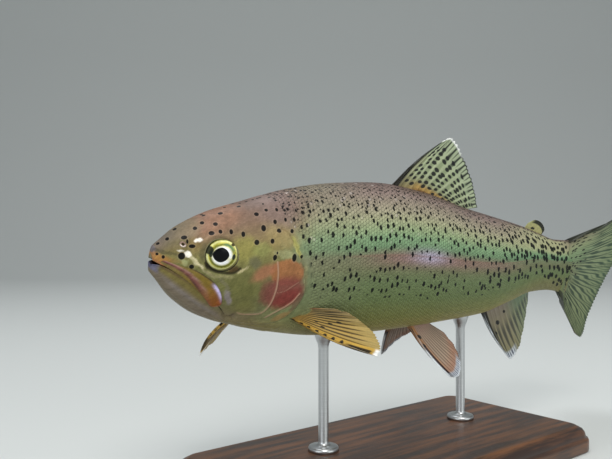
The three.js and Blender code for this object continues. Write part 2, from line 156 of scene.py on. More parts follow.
def flank_normal(x, angle):
    """The cross product of a small step along the body and a small step around it."""
    along = bare_flank(x + 0.3, angle) - bare_flank(np.maximum(x - 0.3, 0.05), angle)
    around = bare_flank(x, angle + 0.02) - bare_flank(x, angle - 0.02)
    return unit(np.cross(along, around))


def flank(x, angle, lift=0.0):
    points = bare_flank(x, angle)
    return points + flank_normal(x, angle) * np.broadcast_to(lift, points.shape[:-1])[..., None]


def angle_at(x, level):
    """The angle, from 0 to half a turn, at which a section reaches a level."""
    middle = widest(x)
    reach = np.where(level > middle, back(x) - middle, middle + belly(x))
    return np.arccos(np.clip((level - middle) / reach, -1, 1))


print("left flank at the gill cover:", bare_flank(70.0, -angle_at(70.0, 0.0)).round(1))

# %% [markdown]
# ## The swimming pose
# The trout is worked out straight, because straight is easy to measure. One function then carries
# any point onto the bent, slightly twisted spine, banks it over its stand and gives metres.

# %% From the straight body to the stand
BENDS = [(90, STANDARD_LENGTH, -6.7), (230, STANDARD_LENGTH, 3.4)]  # from, to, degrees
TWIST = (230, STANDARD_LENGTH, -5.3)
BANK, PITCH = math.radians(15.15), math.radians(1.9)
BALANCE, SNOUT_HEIGHT = 168.0, 132.0

spine_at = np.arange(STANDARD_LENGTH + 1)
spine_heading = sum(np.radians(turn) * smooth(start, end, spine_at) for start, end, turn in BENDS)
spine_x = np.concatenate([[0], np.cumsum(np.cos(spine_heading))[:-1]])
spine_y = np.concatenate([[0], np.cumsum(np.sin(spine_heading))[:-1]])


def turned(a, b, angle):
    """The pair (a, b) turned by an angle."""
    return a * np.cos(angle) - b * np.sin(angle), a * np.sin(angle) + b * np.cos(angle)


def pose(points):
    """Twist about the spine, place on the bent spine, bank about x, pitch about y, lift."""
    x, y, z = np.moveaxis(np.asarray(points, float), -1, 0)
    inside = np.clip(x, 0, STANDARD_LENGTH)
    heading = np.interp(inside, spine_at, spine_heading)
    out, up = turned(y, z, math.radians(TWIST[2]) * smooth(TWIST[0], TWIST[1], x))
    dx, dy = turned(x - inside, out, heading)
    px, py = np.interp(inside, spine_at, spine_x) + dx, np.interp(inside, spine_at, spine_y) + dy
    py, pz = turned(py, up, BANK)
    pz, px = turned(pz, px, PITCH)
    return np.stack([px - BALANCE, py, pz + SNOUT_HEIGHT], -1) * MM


print("snout:", pose([[0, 0, 0]]).round(3), "tail root:", pose([[345, 0, 0]]).round(3))

# %% [markdown]
# ## Surfaces and meshes
# Each piece starts as a grid of points worked out in one go. A small record keeps the points,
# the faces and any named values a material will read; records join into one mesh. A value such
# as the distance to the nearest spot stays sharp between vertices, where a painted spot would
# blur, so markings are stored that way.

# %% Grids that become meshes
class Surface:
    """Points (n, 3), faces as a list of index arrays, and named values with one row a point."""

    def __init__(self, points, faces, **values):
        self.points = np.asarray(points, float).reshape(-1, 3)
        self.faces = faces
        count = len(self.points)
        self.values = {
            name: np.reshape(value, (count, -1))
            for name, value in values.items()
        }

    @staticmethod
    def join(parts):
        starts = np.cumsum([0] + [len(part.points) for part in parts[:-1]])
        faces = [f + start for part, start in zip(parts, starts) for f in part.faces]
        values = {
            name: np.concatenate([part.values[name] for part in parts])
            for name in parts[0].values
        }
        return Surface(np.concatenate([part.points for part in parts]), faces, **values)


def grid_faces(rows, columns, wrap=True):
    """Quads (r, c), (r+1, c), (r+1, c+1), (r, c+1); the last column meets the first if wrapped."""
    r = np.arange(rows - 1)[:, None]
    c = np.arange(columns if wrap else columns - 1)[None]
    following = (c + 1) % columns
    quads = [r * columns + c, (r + 1) * columns + c, (r + 1) * columns + following,
             r * columns + following]
    return np.stack(np.broadcast_arrays(*quads), -1).reshape(-1, 4)


def tube(rings, **values):
    """A closed surface over rings (r, c, 3), with a fan of triangles at each end. Its values
    are arrays (r, c, k), and an end's middle takes the mean of its ring."""
    rows, columns = rings.shape[:2]
    first, last = rows * columns, rows * columns + 1
    c = np.arange(columns)
    following = (c + 1) % columns
    end = (rows - 1) * columns
    fans = [np.stack([np.full(columns, first), c, following], -1),
            np.stack([np.full(columns, last), end + following, end + c], -1)]

    def with_ends(array):
        flat = array.reshape(rows * columns, -1)
        return np.concatenate([flat, [array[0].reshape(columns, -1).mean(0)],
                               [array[-1].reshape(columns, -1).mean(0)]])

    return Surface(with_ends(rings), [grid_faces(rows, columns)] + fans,
                   **{name: with_ends(value) for name, value in values.items()})


def put(name, surface, uv=None):
    """A Blender object of a surface. Values of 1 and of 3 numbers become attributes."""
    mesh = bpy.data.meshes.new(name)
    corners = np.concatenate([f.ravel() for f in surface.faces]).astype(np.int32)
    sizes = np.concatenate([np.full(len(f), f.shape[1]) for f in surface.faces])
    starts = (np.cumsum(sizes) - sizes).astype(np.int32)
    mesh.vertices.add(len(surface.points))
    mesh.vertices.foreach_set("co", surface.points.astype(np.float32).ravel())
    mesh.loops.add(len(corners))
    mesh.loops.foreach_set("vertex_index", corners)
    mesh.polygons.add(len(starts))
    mesh.polygons.foreach_set("loop_start", starts)
    mesh.update(calc_edges=True)
    mesh.shade_smooth()
    kinds = {1: ("FLOAT", "value"), 3: ("FLOAT_VECTOR", "vector")}
    for key, value in surface.values.items():
        kind, field = kinds[value.shape[1]]
        layer = mesh.attributes.new(key, kind, "POINT")
        layer.data.foreach_set(field, value.astype(np.float32).ravel())
    if uv is not None:
        layer = mesh.uv_layers.new(name="OFBake")
        layer.data.foreach_set("uv", uv[corners].astype(np.float32).ravel())
    piece = bpy.data.objects.new(name, mesh)
    bpy.context.scene.collection.objects.link(piece)
    triangles = int((sizes - 2).sum())
    print(f"{name}: {len(surface.points)} vertices, {triangles} triangles")
    return piece


def loop_through(points, count):
    """A closed Catmull-Rom curve: each stretch is the cubic whose end slopes are half the chord
    between the neighbours on both sides."""
    points = np.asarray(points, float)
    share = np.arange(count) * len(points) / count
    i = share.astype(int)
    t = (share - i)[:, None]
    p0, p1, p2, p3 = (points[(i + k) % len(points)] for k in (-1, 0, 1, 2))
    return p1 + 0.5 * t * (
        p2 - p0 + t * (2 * p0 - 5 * p1 + 4 * p2 - p3 + t * (3 * (p1 - p2) + p3 - p0))
    )


print("a wrapped grid of 3 by 4 points has", len(grid_faces(3, 4)), "faces")

# %% [markdown]
# ## Markings
# The rainbow trout's paint is layered: a brown-mauve back, an olive upper flank, a blue-green
# belt, the dusty pink band, then olive fading to a tan belly. The head adds an orange-brown
# crown, a gold-olive cheek and the rosy gill cover. Skin and scales ask the same function for
# their colour, so they always agree. It works in the straight body, where a place is a distance
# from the snout and a level above the axis, and soft patches are laid over bands one by one.

# %% The painter's palette
def linear(code):
    """The linear-light colour of a web colour."""
    part = np.array([int(code[i:i + 2], 16) / 255 for i in (0, 2, 4)])
    return np.where(part <= 0.04045, part / 12.92, ((part + 0.055) / 1.055) ** 2.4)


TRUNK_BANDS = [  # share of the height above the belly, colour
    (0.00, "a8996c"), (0.07, "968e57"), (0.16, "7f824c"), (0.30, "6b7a4d"), (0.42, "6d7d55"),
    (0.52, "747a58"), (0.59, "76805f"), (0.65, "6f926c"), (0.71, "85a37b"), (0.76, "97a87f"),
    (0.82, "a5a684"), (0.87, "a39b84"), (0.92, "958879"), (0.96, "8a7871"), (1.00, "6c5a54"),
]
PINK_LEVEL, PINK_WIDTH = 0.58, 0.055  # shares of the height
# where the painted lilac highlight lies on the pink band
PAINTED_GLARE_AT, PAINTED_GLARE_LEVEL = 171.0, 0.6
HEAD_BANDS = [
    (0.00, "85795a"), (0.10, "7c7156"), (0.22, "6f6a4a"), (0.34, "716f44"), (0.50, "706e43"),
    (0.62, "7d784a"), (0.72, "87784d"), (0.80, "857154"), (0.90, "826a59"), (1.00, "6b584f"),
]
HEAD_PATCHES = [  # middle, half sizes, turn in degrees, softness, strength, colour
    # the crown, from the orange forehead to the grey nape
    ((31, 21.5), (14, 4.6), 28, 1.0, 0.5, "9c7259"),
    ((16, 15), (9, 4), 45, 0.9, 0.45, "7f7a5e"),
    ((63, 30), (11, 9), 15, 1.2, 0.65, "84716b"),
    # the snout
    ((5, 9), (7, 4), 45, 0.9, 0.5, "6f6c60"),
    ((1.2, 3.4), (1.8, 3.6), 0, 0.8, 0.5, "84849a"),
    ((6.5, 4.3), (5.5, 0.9), -4, 0.9, 0.55, "3b382f"),
    ((12, 7.5), (6, 3.4), 20, 0.8, 0.4, "67633c"),
    ((18.5, 10), (3.4, 2.4), 20, 0.8, 0.4, "7d6a35"),
    ((22.8, 6.5), (1.8, 4), -5, 0.9, 0.5, "454434"),
    ((11, 1.2), (6, 0.9), -14, 0.8, 0.6, "8b7546"),
    # pale streaks ahead of the eye and under it, partly painted highlights, and dark marks by the eye
    # painted highlight: a white glint on the bone ahead of the eye, and a smaller one above it
    ((15.9, 4.9), (1.7, 1.1), -20, 0.5, 0.95, "fff8ec"),
    ((13, 6.3), (1.5, 0.5), 5, 0.6, 0.7, "efe8d8"),
    ((15, 1), (1.4, 1.7), 20, 0.8, 0.55, "b4b985"),
    # the pale bone under the eye, with a painted highlight along it
    ((20.4, 1.3), (4.3, 0.9), -40, 0.7, 0.85, "d8cda4"),
    ((26.4, -3.2), (3.6, 0.9), -22, 0.8, 0.6, "aca078"),
    ((33.5, -4.4), (5.5, 0.9), 2, 0.9, 0.5, "a39a70"),
    ((42.6, -0.7), (3.4, 0.55), 32, 0.6, 0.75, "c4b78e"),
    # painted shade in the groove under the eye's rear
    ((38.6, -0.5), (3.2, 1.5), 22, 0.7, 0.8, "4a3320"),
    ((25.3, 0.2), (1.1, 0.9), -30, 0.6, 0.85, "1d1a12"),
    # painted highlight: a white glint on the brow above the eye
    ((20.7, 11.8), (1.8, 0.65), 10, 0.5, 0.95, "fff6ea"),
    # the cheek
    ((43, 9.5), (7, 6), 20, 0.9, 0.75, "918b4c"),
    ((52, 10), (5, 3.2), 15, 0.9, 0.5, "8c9355"),
    ((48.8, 3.6), (3.6, 2.8), -30, 0.8, 0.6, "5a5848"),
    ((44, -13), (9, 9), 0, 0.9, 0.45, "666637"),
    ((50, -21), (6, 4), 0, 0.9, 0.35, "86844a"),
    # painted highlight: a lilac sheen just behind the upper jaw bone's end
    ((38.6, -15), (1.4, 4.4), 28, 0.8, 0.5, "9a8c9a"),
    ((35.5, -8.4), (5, 0.8), -38, 0.8, 0.25, "837a72"),
    # the gill cover, orange over rose over dark red
    ((62, 17), (8.5, 4.6), -15, 1.2, 0.65, "a18f60"),
    ((65, 8.6), (6.5, 1.9), -5, 0.6, 0.6, "a3a174"),
    ((68, -0.8), (10, 6.8), -4, 0.25, 0.92, "a06a44"),
    ((54.8, -1.2), (6.8, 3.4), 34, 1.0, 0.75, "a56c52"),
    ((68.2, -11), (12, 8), 10, 0.6, 0.9, "81453f"),
    ((71.3, -15), (8.4, 5), 26, 0.8, 0.8, "803833"),
    ((58.5, -12), (4, 7), 10, 0.6, 0.6, "774a40"),
    ((71.6, 12), (1.3, 6), 30, 0.5, 0.75, "bdb76c"),
    ((79.6, -3), (1.0, 7), 12, 0.7, 0.6, "97916a"),
    ((78.2, -17), (1.9, 6), -22, 0.6, 0.75, "6d5544"),
    ((72, -25.5), (5, 2), 32, 0.6, 0.6, "a07a4e"),
    # the throat and the jaw's underside
    ((58, -34), (20, 5), 0, 0.8, 0.5, "7c6f49"),
]
print("bands:", len(TRUNK_BANDS), "and", len(HEAD_BANDS), "patches:", len(HEAD_PATCHES))

# %% Laying colours over each other
PATCH_WAVER = 0.55  # mm by which a patch's edge wanders


def banded(bands, share):
    """Colours between the bands, mixed in linear light."""
    levels = [level for level, _ in bands]
    colours = np.array([linear(code) for _, code in bands])
    return np.stack([np.interp(share, levels, colours[:, k]) for k in range(3)], -1)


def waver(x, z):
    """Three crossed sine waves of the place, so that no painted edge is a clean ellipse."""
    return (np.sin(0.75 * x + 0.5 * z + 1.3) + np.sin(1.3 * z - 0.6 * x)
            + np.sin(2.3 * x + 1.9 * z)) / 3


def patch(x, z, middle, size, turn, soft):
    """1 inside a turned ellipse, fading to 0 over the soft share of its radius outside."""
    shift = PATCH_WAVER * waver(x, z)
    dx, dz = turned(x + shift - middle[0], z + shift - middle[1], -math.radians(turn))
    return 1 - smooth(1 - soft / 2, 1 + soft / 2, np.hypot(dx / size[0], dz / size[1]))


def near_path(x, z, path):
    """The distance to the nearest stretch of an open path in the side view."""
    nearest = np.full(np.shape(x), 1e3)
    for (ax, az), (bx, bz) in zip(path, path[1:]):
        length = (bx - ax) ** 2 + (bz - az) ** 2
        t = np.clip(((x - ax) * (bx - ax) + (z - az) * (bz - az)) / length, 0, 1)
        nearest = np.minimum(nearest, np.hypot(x - ax - t * (bx - ax), z - az - t * (bz - az)))
    return nearest


def over(colour, *layers):
    """The colour under layers of (mask, web colour), laid on one after the other."""
    for mask, code in layers:
        colour = blend(colour, linear(code), np.asarray(mask)[..., None])
    return colour


print("halfway from black to white:", over(np.zeros(3), (0.5, "ffffff")))


# %% Lines and spots of the head
def path_curve(points):
    """A monotone cubic through places, by the share of the path's length."""
    points = np.asarray(points, float)
    length = np.concatenate([[0], np.cumsum(np.hypot(*np.diff(points, axis=0).T))])
    curves = [monotone(length / length[-1], points[:, k]) for k in range(points.shape[1])]
    return lambda share: np.stack([curve(share) for curve in curves], -1)


def eased(points, count=22):
    """The same path with its corners rounded."""
    return path_curve(points)(np.linspace(0, 1, count))


PREOPERCLE = eased([(61, 4.5), (62.6, -2), (63.3, -9), (62.9, -16), (61.2, -21.6), (57.6, -24.6),
                    (52, -24.9), (47, -24.2)])
LOWER_OPERCLE = eased([(78, -11.8), (75.6, -16), (71.6, -19.7), (66.4, -23.4), (63, -26.2)], 14)
DIAGONAL = eased([(75.4, -5.6), (71.4, -8.5), (68, -10.8), (64.4, -11.6)], 8)
EYE_GROOVE = eased([(24.3, 1.6), (25.6, -0.3), (28, -1.6), (31.8, -2.5), (36.6, -2.6),
                    (39.8, -1.7), (41.8, 0.2)])

SPOTS_HEAD = [  # distance, level, radius along, radius up
    (8.1, 10.1, 1.0, .9), (4.3, 7.4, 1.3, .7), (12.5, 14.3, 1.2, .8), (14.5, 12.1, 1.7, 1.0),
    (19.9, 16.6, 1.1, .95), (23.6, 19.2, 1.1, 1), (26.3, 21.9, 1.1, .8), (33.5, 24.1, 1.4, .95),
    (44.1, 27.9, 1.3, .8), (29.3, 19.6, 1.2, 1.0), (26.8, 15.5, 1.5, 1.1), (31, 16.6, .95, 1.1),
    (36.2, 17.1, .9, 1.3), (42.1, 16.6, 1.0, 1.35), (50.5, 26, 1.3, 1.1), (56.1, 28.3, 1, .9),
    (61.6, 29.1, .8, 1.1), (52.9, 20.2, 1.3, 1.6), (59.4, 23.6, 1, 1.2), (61.1, 19.6, 1.2, 1.2),
    (68.5, 20, 1, 1.1), (65.3, 25.1, .8, 1.1), (49, 13.4, 1.35, 1.3), (57.4, 14.5, 1, 1.25),
    (59.4, 6.6, 1, 1.5), (60.3, 9, .55, .9), (70.2, 7.1, 1.35, 2.1), (13.3, 3.8, 1.6, 1.65),
    (18.2, -.7, 1.2, 1), (17.7, 8.8, 1.8, .9), (3.9, 2.8, .75, .65), (6.4, 1.9, .75, .85),
    (15.7, 10.6, .5, 1.1), (50, 30.2, 1.1, .7), (53.7, 31.9, .9, .7), (56, 30.6, .7, .6),
    (58.1, 33, .8, .7), (61.5, 33.6, .8, .7), (66, 35, .8, .7), (67.2, 32.2, .8, .8),
    (75.1, 7.6, .75, 1.1), (38, 29.8, 1, .7), (46.5, 33, 1, .7), (56.5, 36, 1, .7),
]


print("head spots a side:", len(SPOTS_HEAD))


# %% The colour and the marks of a place
def ridge(distance, width):
    """A bell: 1 on the line, about a third at one width from it."""
    return np.exp(-((distance / width) ** 2))


def height_share(x, z):
    """0 on the belly and 1 on the back."""
    return (z + belly(x)) / (back(x) + belly(x))


def chart_of(x, angle):
    """(distance, arc from the back along the section, share of the height)."""
    x, angle = np.broadcast_arrays(x, angle)
    share = height_share(x, bare_flank(x, angle)[..., 2])
    girth = 0.5 * np.pi * np.hypot(half(x), (back(x) + belly(x)) / 2) * math.sqrt(2)
    return np.stack([x, angle / np.pi * girth, share], -1)


def trunk_paint(x, share):
    """The bands, then the pink band and one painted lilac highlight on it, and a paler tail stalk.
    The belt and the band ride a little higher towards the tail."""
    colour = banded(TRUNK_BANDS, share + 0.02 * smooth(200, 330, x))
    colour = over(colour, (0.4 * (1 - smooth(85, 135, x)) + 0 * share, "85876a"))
    pink = ridge(share - PINK_LEVEL + 0.05 * smooth(230, 300, x), PINK_WIDTH)
    pink = pink * (1 - 0.9 * smooth(235, 290, x)) * (1 - 0.2 * smooth(190, 230, x))
    colour = over(
        colour,
        (pink * blend(0.1, 0.8, smooth(100, 150, x)), "94706c"),
        # painted highlight: a lilac glare on the pink band
        (0.75 * ridge(x - PAINTED_GLARE_AT, 15) * ridge(share - PAINTED_GLARE_LEVEL, 0.045), "b9b2cc"),
    )
    pale = smooth(235, 300, x) * smooth(0.68, 0.8, share) * (1 - smooth(0.95, 1, share))
    return over(
        colour,
        ((0.8 - 0.45 * smooth(318, 342, x)) * pale, "b3b489"),
        (0.8 * smooth(255, 320, x) * (1 - smooth(0.12, 0.4, share)), "777452"),
    )


def paint(x, angle):
    """The coat's own colour at a place, before its spots: bands, then head patches over them."""
    x, angle = np.broadcast_arrays(x, angle)
    z = bare_flank(x, angle)[..., 2]
    share = height_share(x, z)
    crossing = smooth(56, 82, x - 0.3 * (z - 5) + 3 * waver(x * 0.6, z * 0.6))
    colour = blend(banded(HEAD_BANDS, share), trunk_paint(x, share), crossing[..., None])
    for middle, size, turn, soft, strength, code in HEAD_PATCHES:
        colour = over(colour, (strength * patch(x, z, middle, size, turn, soft), code))
    return np.clip(colour, 0.003, 1)


FAR = 9.0  # spot radii, past which no spot shows
HEAD_END = 85.0  # mm, just behind the gill covers


def marks(points, x, z):
    """(nearest head spot in spot radii, distance to the pale bone lines, to the eye's groove)."""
    points = points.reshape(-1, 3)
    x, z = np.ravel(x), np.ravel(z)
    near = np.full(len(points), FAR)
    inside = np.flatnonzero(x < HEAD_END)
    for side in (-1, 1):
        for at, level, along, up in SPOTS_HEAD:
            middle = bare_flank(at, side * angle_at(at, level))
            gap = points[inside] - middle
            ratio = np.sqrt((gap[:, 0] / along) ** 2 + (gap[:, 1:] ** 2).sum(1) / up ** 2)
            near[inside] = np.minimum(near[inside], ratio)
    pale = np.minimum(near_path(x, z, PREOPERCLE), near_path(x, z, LOWER_OPERCLE))
    pale = np.minimum(pale, near_path(x, z, DIAGONAL) + 0.3)
    return np.stack([near, pale, near_path(x, z, EYE_GROOVE)], -1)


print("the trunk's colour at its middle:", paint(150.0, 0.5 * np.pi).round(2))

# %% [markdown]
# ## The skin
# One skin carries the whole fish, so no seam shows. Its main sheet is a tube of sections. Ahead of
# the mouth's corner the lower part of each section folds in along the lip and becomes the roof of
# the mouth, which makes a real opening instead of a dark line. Relief pushes the sheet in and out
# for the eye sockets, the nostrils and the edges of the cheek bones. On the trunk the sheet lies
# a little inside the solid, by the depth of the scales.

# %% Where the bones of the head lie
SNOUT_START = 2.6
COAT_DEPTH = 0.4
EYE_AT, EYE_LEVEL = 31.8, 5.9  # the middle of the eye's opening, in the side view
EYE_LONG, EYE_HIGH = 8.1, 7.5
NOSTRIL = (13.8, 9.1)
GILL_COVER = [
    (52, -4), (54, 8), (57.5, 17), (63.5, 20), (69.4, 14.8), (74.6, 5.8), (79, -3),
    (81.2, -12), (79.2, -21), (73, -28.6), (63, -32), (53, -27), (50.5, -16),
]
GILL_SLIT = GILL_COVER[3:11]
HEAD_REAR = [(70, -40), (75, -33), (82, -23), (83, -13), (81, -3), (77, 7), (72, 16),
             (67.5, 21), (60, 30), (55, 46)]
rear_x, rear_z = np.array(HEAD_REAR).T


def scaly(x, z):
    """0 on the bare head, 1 where the scales have begun."""
    return smooth(0.5, 6, x - np.interp(z, rear_z, rear_x))


def relief(x, z):
    """How far the surface stands proud of the plain body: sockets in, bone edges out."""
    eye = np.hypot((x - EYE_AT) / EYE_LONG, (z - EYE_LEVEL) / EYE_HIGH)
    lift = -3.4 * (1 - smooth(0.92, 1.03, eye))
    lift = lift + blend(0.1, 0.55, smooth(4, 13, z)) * ridge(eye - 1.24, 0.13)
    nostril = np.hypot(x - NOSTRIL[0], (z - NOSTRIL[1]) * 1.1)
    lift = lift - 1.3 * (1 - smooth(0.4, 1.1, nostril))
    lift = lift - 0.6 * ridge(near_path(x, z, EYE_GROOVE), 0.7)
    lift = lift + 0.3 * ridge(near_path(x, z, EYE_GROOVE) - 1.7, 0.8) * (z < -1)
    edge = near_path(x, z, PREOPERCLE)
    lift = lift + 0.34 * ridge(edge, 0.5) - 0.25 * ridge(edge - 1.3, 0.6)
    edge = near_path(x, z, LOWER_OPERCLE)
    lift = lift + 0.34 * ridge(edge, 0.45) - 0.22 * ridge(edge - 1.1, 0.5)
    lift = lift + 0.16 * ridge(near_path(x, z, DIAGONAL), 0.4)
    lift = lift + 0.5 * patch(x, z, (46, -13), (12, 10), 0, 1.2)
    lift = lift - 0.8 * ridge(near_path(x, z, GILL_SLIT), 1.1)
    rays = smooth(40, 50, x) * (1 - smooth(74, 86, x)) * (1 - smooth(-29, -26, z))
    lift = lift + 0.16 * rays * np.cos((z + 0.1 * x) * 2 * np.pi / 2.3)
    fold = ridge(z + 27.5 + 0.07 * (x - 45), 0.6) * smooth(40, 50, x) * (1 - smooth(60, 70, x))
    lift = lift - 0.3 * fold + 0.05 * waver(x * 1.3, z * 1.3) * smooth(2, 8, x)
    return lift * smooth(0, 5, x) - COAT_DEPTH * scaly(x, z)


print("socket depth:", float(relief(np.array(EYE_AT), np.array(EYE_LEVEL)).round(2)), "mm")

# %% The main sheet
LIP_SHARE = 0.72  # of each half ring's columns that stay outside the mouth
HEAD_ROWS, TRUNK_ROWS, SIDE_COLUMNS = 190, 80, 116
MOUTH_FLESH = "4a2a28"
MOUTH_CORNER, MOUTH_CLOSED = 41.0, 49.0


def lip_gap(x):
    """The mouth is open at the snout's tip and all but shut a few millimetres further back."""
    return 0.2 + 1.5 * (1 - smooth(2, 6, x))


def values_at(points, x, angle, tint=None):
    """The named values that the skin's material reads."""
    z = bare_flank(x, angle)[..., 2]
    shape = points.shape
    colour = paint(x, angle) if tint is None else tint
    x = np.broadcast_to(x, shape[:-1])
    return {
        "chart": chart_of(x, angle).reshape(shape),
        "paint": np.broadcast_to(colour, shape),
        "marks": marks(points, x, z).reshape(shape),
        "coat": scaly(x, z)[..., None],
    }


def rounded_front(rings, depth, steps=6):
    """Rings that shrink onto a point ahead of the first ring, along a quarter circle."""
    turn = np.linspace(0.12, np.pi / 2, steps, endpoint=False)[:, None, None]
    middle = rings[0].mean(0)
    front = middle + (rings[0][None] - middle) * np.sin(turn)
    front[..., 0] -= depth * np.cos(turn[..., 0])
    return np.concatenate([front, rings]), steps


def repeat_first(array, steps):
    return np.concatenate([np.repeat(array[:1], steps, 0), array])


def main_sheet():
    """|column| up to the lip: the flank at that share of the lip's angle, plus relief.
    Past the lip: the roof, from the lip's point straight in to the middle and arched up."""
    x = np.concatenate([
        blend(SNOUT_START, HEAD_END, np.linspace(0, 1, HEAD_ROWS) ** 1.35),
        np.linspace(HEAD_END, STANDARD_LENGTH, TRUNK_ROWS + 1)[1:],
    ])[:, None]
    column = (np.arange(2 * SIDE_COLUMNS) / SIDE_COLUMNS - 1)[None]
    side, share = np.sign(column + 1e-9), np.abs(column)
    behind = smooth(MOUTH_CORNER, MOUTH_CLOSED, x)
    lip = angle_at(x, mouth_line(x) + lip_gap(x) / 2)
    lip = blend(lip, np.pi * LIP_SHARE, behind)
    inner = np.clip((share - LIP_SHARE) / (1 - LIP_SHARE), 0, 1)
    angle = side * np.where(inner > 0, blend(lip, np.pi, inner), lip * share / LIP_SHARE)
    bead = 0.3 * ridge((share - LIP_SHARE + 0.018) * 60, 1.0) * smooth(2, 5, x) * (1 - smooth(8, 30, x))
    outer = flank(x, angle, relief(x, bare_flank(x, angle)[..., 2]) + bead * (1 - behind))
    edge = flank(x, side * lip, relief(x, bare_flank(x, lip)[..., 2]))
    roof = edge.copy()
    roof[..., 1] *= 1 - inner
    roof[..., 2] += np.minimum(4.5, 0.3 * x) * np.sin(inner * np.pi / 2)
    folded = np.where(inner > 0, 1 - behind, 0)[..., None]
    rings = blend(outer, roof, folded)
    near_lip = (LIP_SHARE - share) * lip * half(x)  # about the arc above the lip, in mm
    on_lip = (share <= LIP_SHARE) * (1 - smooth(7, 12, x))
    tint = over(
        paint(x, angle),
        (0.8 * on_lip * (1 - smooth(1.6, 2.6, near_lip)), "a8753f"),
        (0.6 * on_lip * (1 - smooth(0.3, 0.8, near_lip)), "8a5b46"),
    )
    flesh = smooth(3.5, 6, x) * np.minimum(inner * 6, 1)
    tint = blend(tint, linear(MOUTH_FLESH), folded * flesh[..., None])
    values = values_at(rings, x, angle, tint)
    rings, added = rounded_front(rings, 0.4)
    values = {name: repeat_first(value, added) for name, value in values.items()}
    return tube(rings, **values)


skin_parts = [main_sheet()]
print("main sheet:", len(skin_parts[0].points), "points")

# %% [markdown]
# ## The lower jaw
# The jaw is a second tube of the same kind with its lip on top and the floor of the mouth folded
# in between. Behind the mouth's corner it sinks slowly into the main sheet, as the fold under a
# trout's throat does.

# %% The lower jaw
JAW_START, JAW_END, FLOOR_SHARE = 2.9, 62.0, 0.3
JAW_TINTS = [  # outer share from, to, distance from, to, strength, colour: both fade out
    (0.16, 0.34, 24, 38, 0.85, "776a3a"),
    (0.05, 0.12, 14, 26, 0.6, "5d4638"),
]


def lower_jaw():
    """|column| under the floor's share: from the middle out to the lip, dished; past it: the
    flank from the lip's angle round to the belly."""
    x = blend(JAW_START, JAW_END, np.linspace(0, 1, 110) ** 1.25)[:, None]
    column = (np.arange(104) / 52 - 1)[None]
    side, share = np.sign(column + 1e-9), np.abs(column)
    lip = angle_at(x, mouth_line(x) - lip_gap(x) / 2)
    outer = np.clip((share - FLOOR_SHARE) / (1 - FLOOR_SHARE), 0, 1)
    angle = side * blend(lip, np.pi, outer)
    sink = 1.6 * smooth(47, 60, x) + 1.6 * smooth(36, 42, x) * (1 - smooth(0.05, 0.3, outer))
    bead = 0.35 * ridge(outer * 14, 1.0) * smooth(2, 6, x) * (1 - smooth(20, 34, x))
    rings = flank(x, angle, 0.22 * smooth(30, 42, x) + bead - sink
                  + 0.08 * np.cos(outer * 40) * smooth(8, 20, x) * smooth(0.15, 0.3, outer))
    floor = share < FLOOR_SHARE
    edge = flank(x, side * lip, bead - sink)
    dished = edge.copy()
    dished[..., 1] *= share / FLOOR_SHARE
    dished[..., 2] -= np.minimum(3.0, 0.3 * x) * np.cos(share / FLOOR_SHARE * np.pi / 2)
    rings = np.where(floor[..., None], dished, rings)
    tint = paint(x, angle)
    front = 1 - smooth(30, 48, x)
    tint = over(
        tint,
        (0.9 * front * smooth(0.05, 0.3, outer), "75695a"),
        (0.6 * front * ridge(outer - 0.42 + 0.004 * x, 0.09) * smooth(6, 12, x), "857c76"),
        (0.5 * front * smooth(0.55, 0.8, outer), "6a6048"),
    )
    for near, far, start, end, strength, code in JAW_TINTS:
        tint = over(
            tint,
            (strength * (1 - smooth(near, far, outer)) * (1 - smooth(start, end, x)), code),
        )
    tint = over(
        tint,
        (0.8 * (1 - smooth(4, 6.5, x)) * (1 - smooth(0.25, 0.55, outer)), "6d6c86"),
        (0.6 * (1 - smooth(3.2, 5, x)) * (1 - smooth(0.0, 0.2, outer)), "3c4058"),
        ((floor & (share < FLOOR_SHARE * 0.9)) * smooth(3.5, 6, x), MOUTH_FLESH),
    )
    values = values_at(rings, x, angle, tint)
    rings, added = rounded_front(rings, 0.5)
    values = {name: repeat_first(value, added) for name, value in values.items()}
    return tube(rings, **values)


skin_parts.append(lower_jaw())
print("lower jaw:", len(skin_parts[-1].points), "points")

# %% [markdown]
# ## The bones that lie over the skin
# The upper jaw's outer bone is a curved bar that widens into a square paddle below the eye. The
# gill cover is a thin shell with a free rear edge. Both are closed shapes laid on the flank: their
# places are side-view places, and their height is a lift.

# %% The upper jaw bones
MAXILLA_TOP = path_curve([(6, 0.6), (12.3, -0.6), (19.4, -2.0), (24.8, -4.4), (30.5, -8.1),
                          (34.2, -12.3), (36.4, -16.8), (37.3, -20.4)])
MAXILLA_FOOT = path_curve([(5.2, -1.6), (10.1, -3.5), (17.5, -7.8), (22.4, -11.7), (27, -15.6),
                           (30.2, -18.9), (33, -21.7)])
# The mauve strip's middle: shares along the bone, and levels from its foot to its top.
MAXILLA_STRIP = ((0, 0.15, 0.31, 0.45, 0.72, 0.9), (0.85, 0.72, 0.5, 0.33, 0.15, 0.0))


def on_flank(x, z, side, lift):
    return flank(x, side * angle_at(x, z), lift)


def outward(surface):
    """The same closed surface with its faces pointing out: six times its volume is the sum of
    each triangle's corner product, and a negative sum means that it is inside out."""
    total = 0.0
    for faces in surface.faces:
        a = surface.points[faces[:, 0]]
        for k in range(1, faces.shape[1] - 1):
            b, c = surface.points[faces[:, k]], surface.points[faces[:, k + 1]]
            total += (a * np.cross(b, c)).sum()
    if total < 0:
        surface.faces = [faces[:, ::-1] for faces in surface.faces]
    return surface


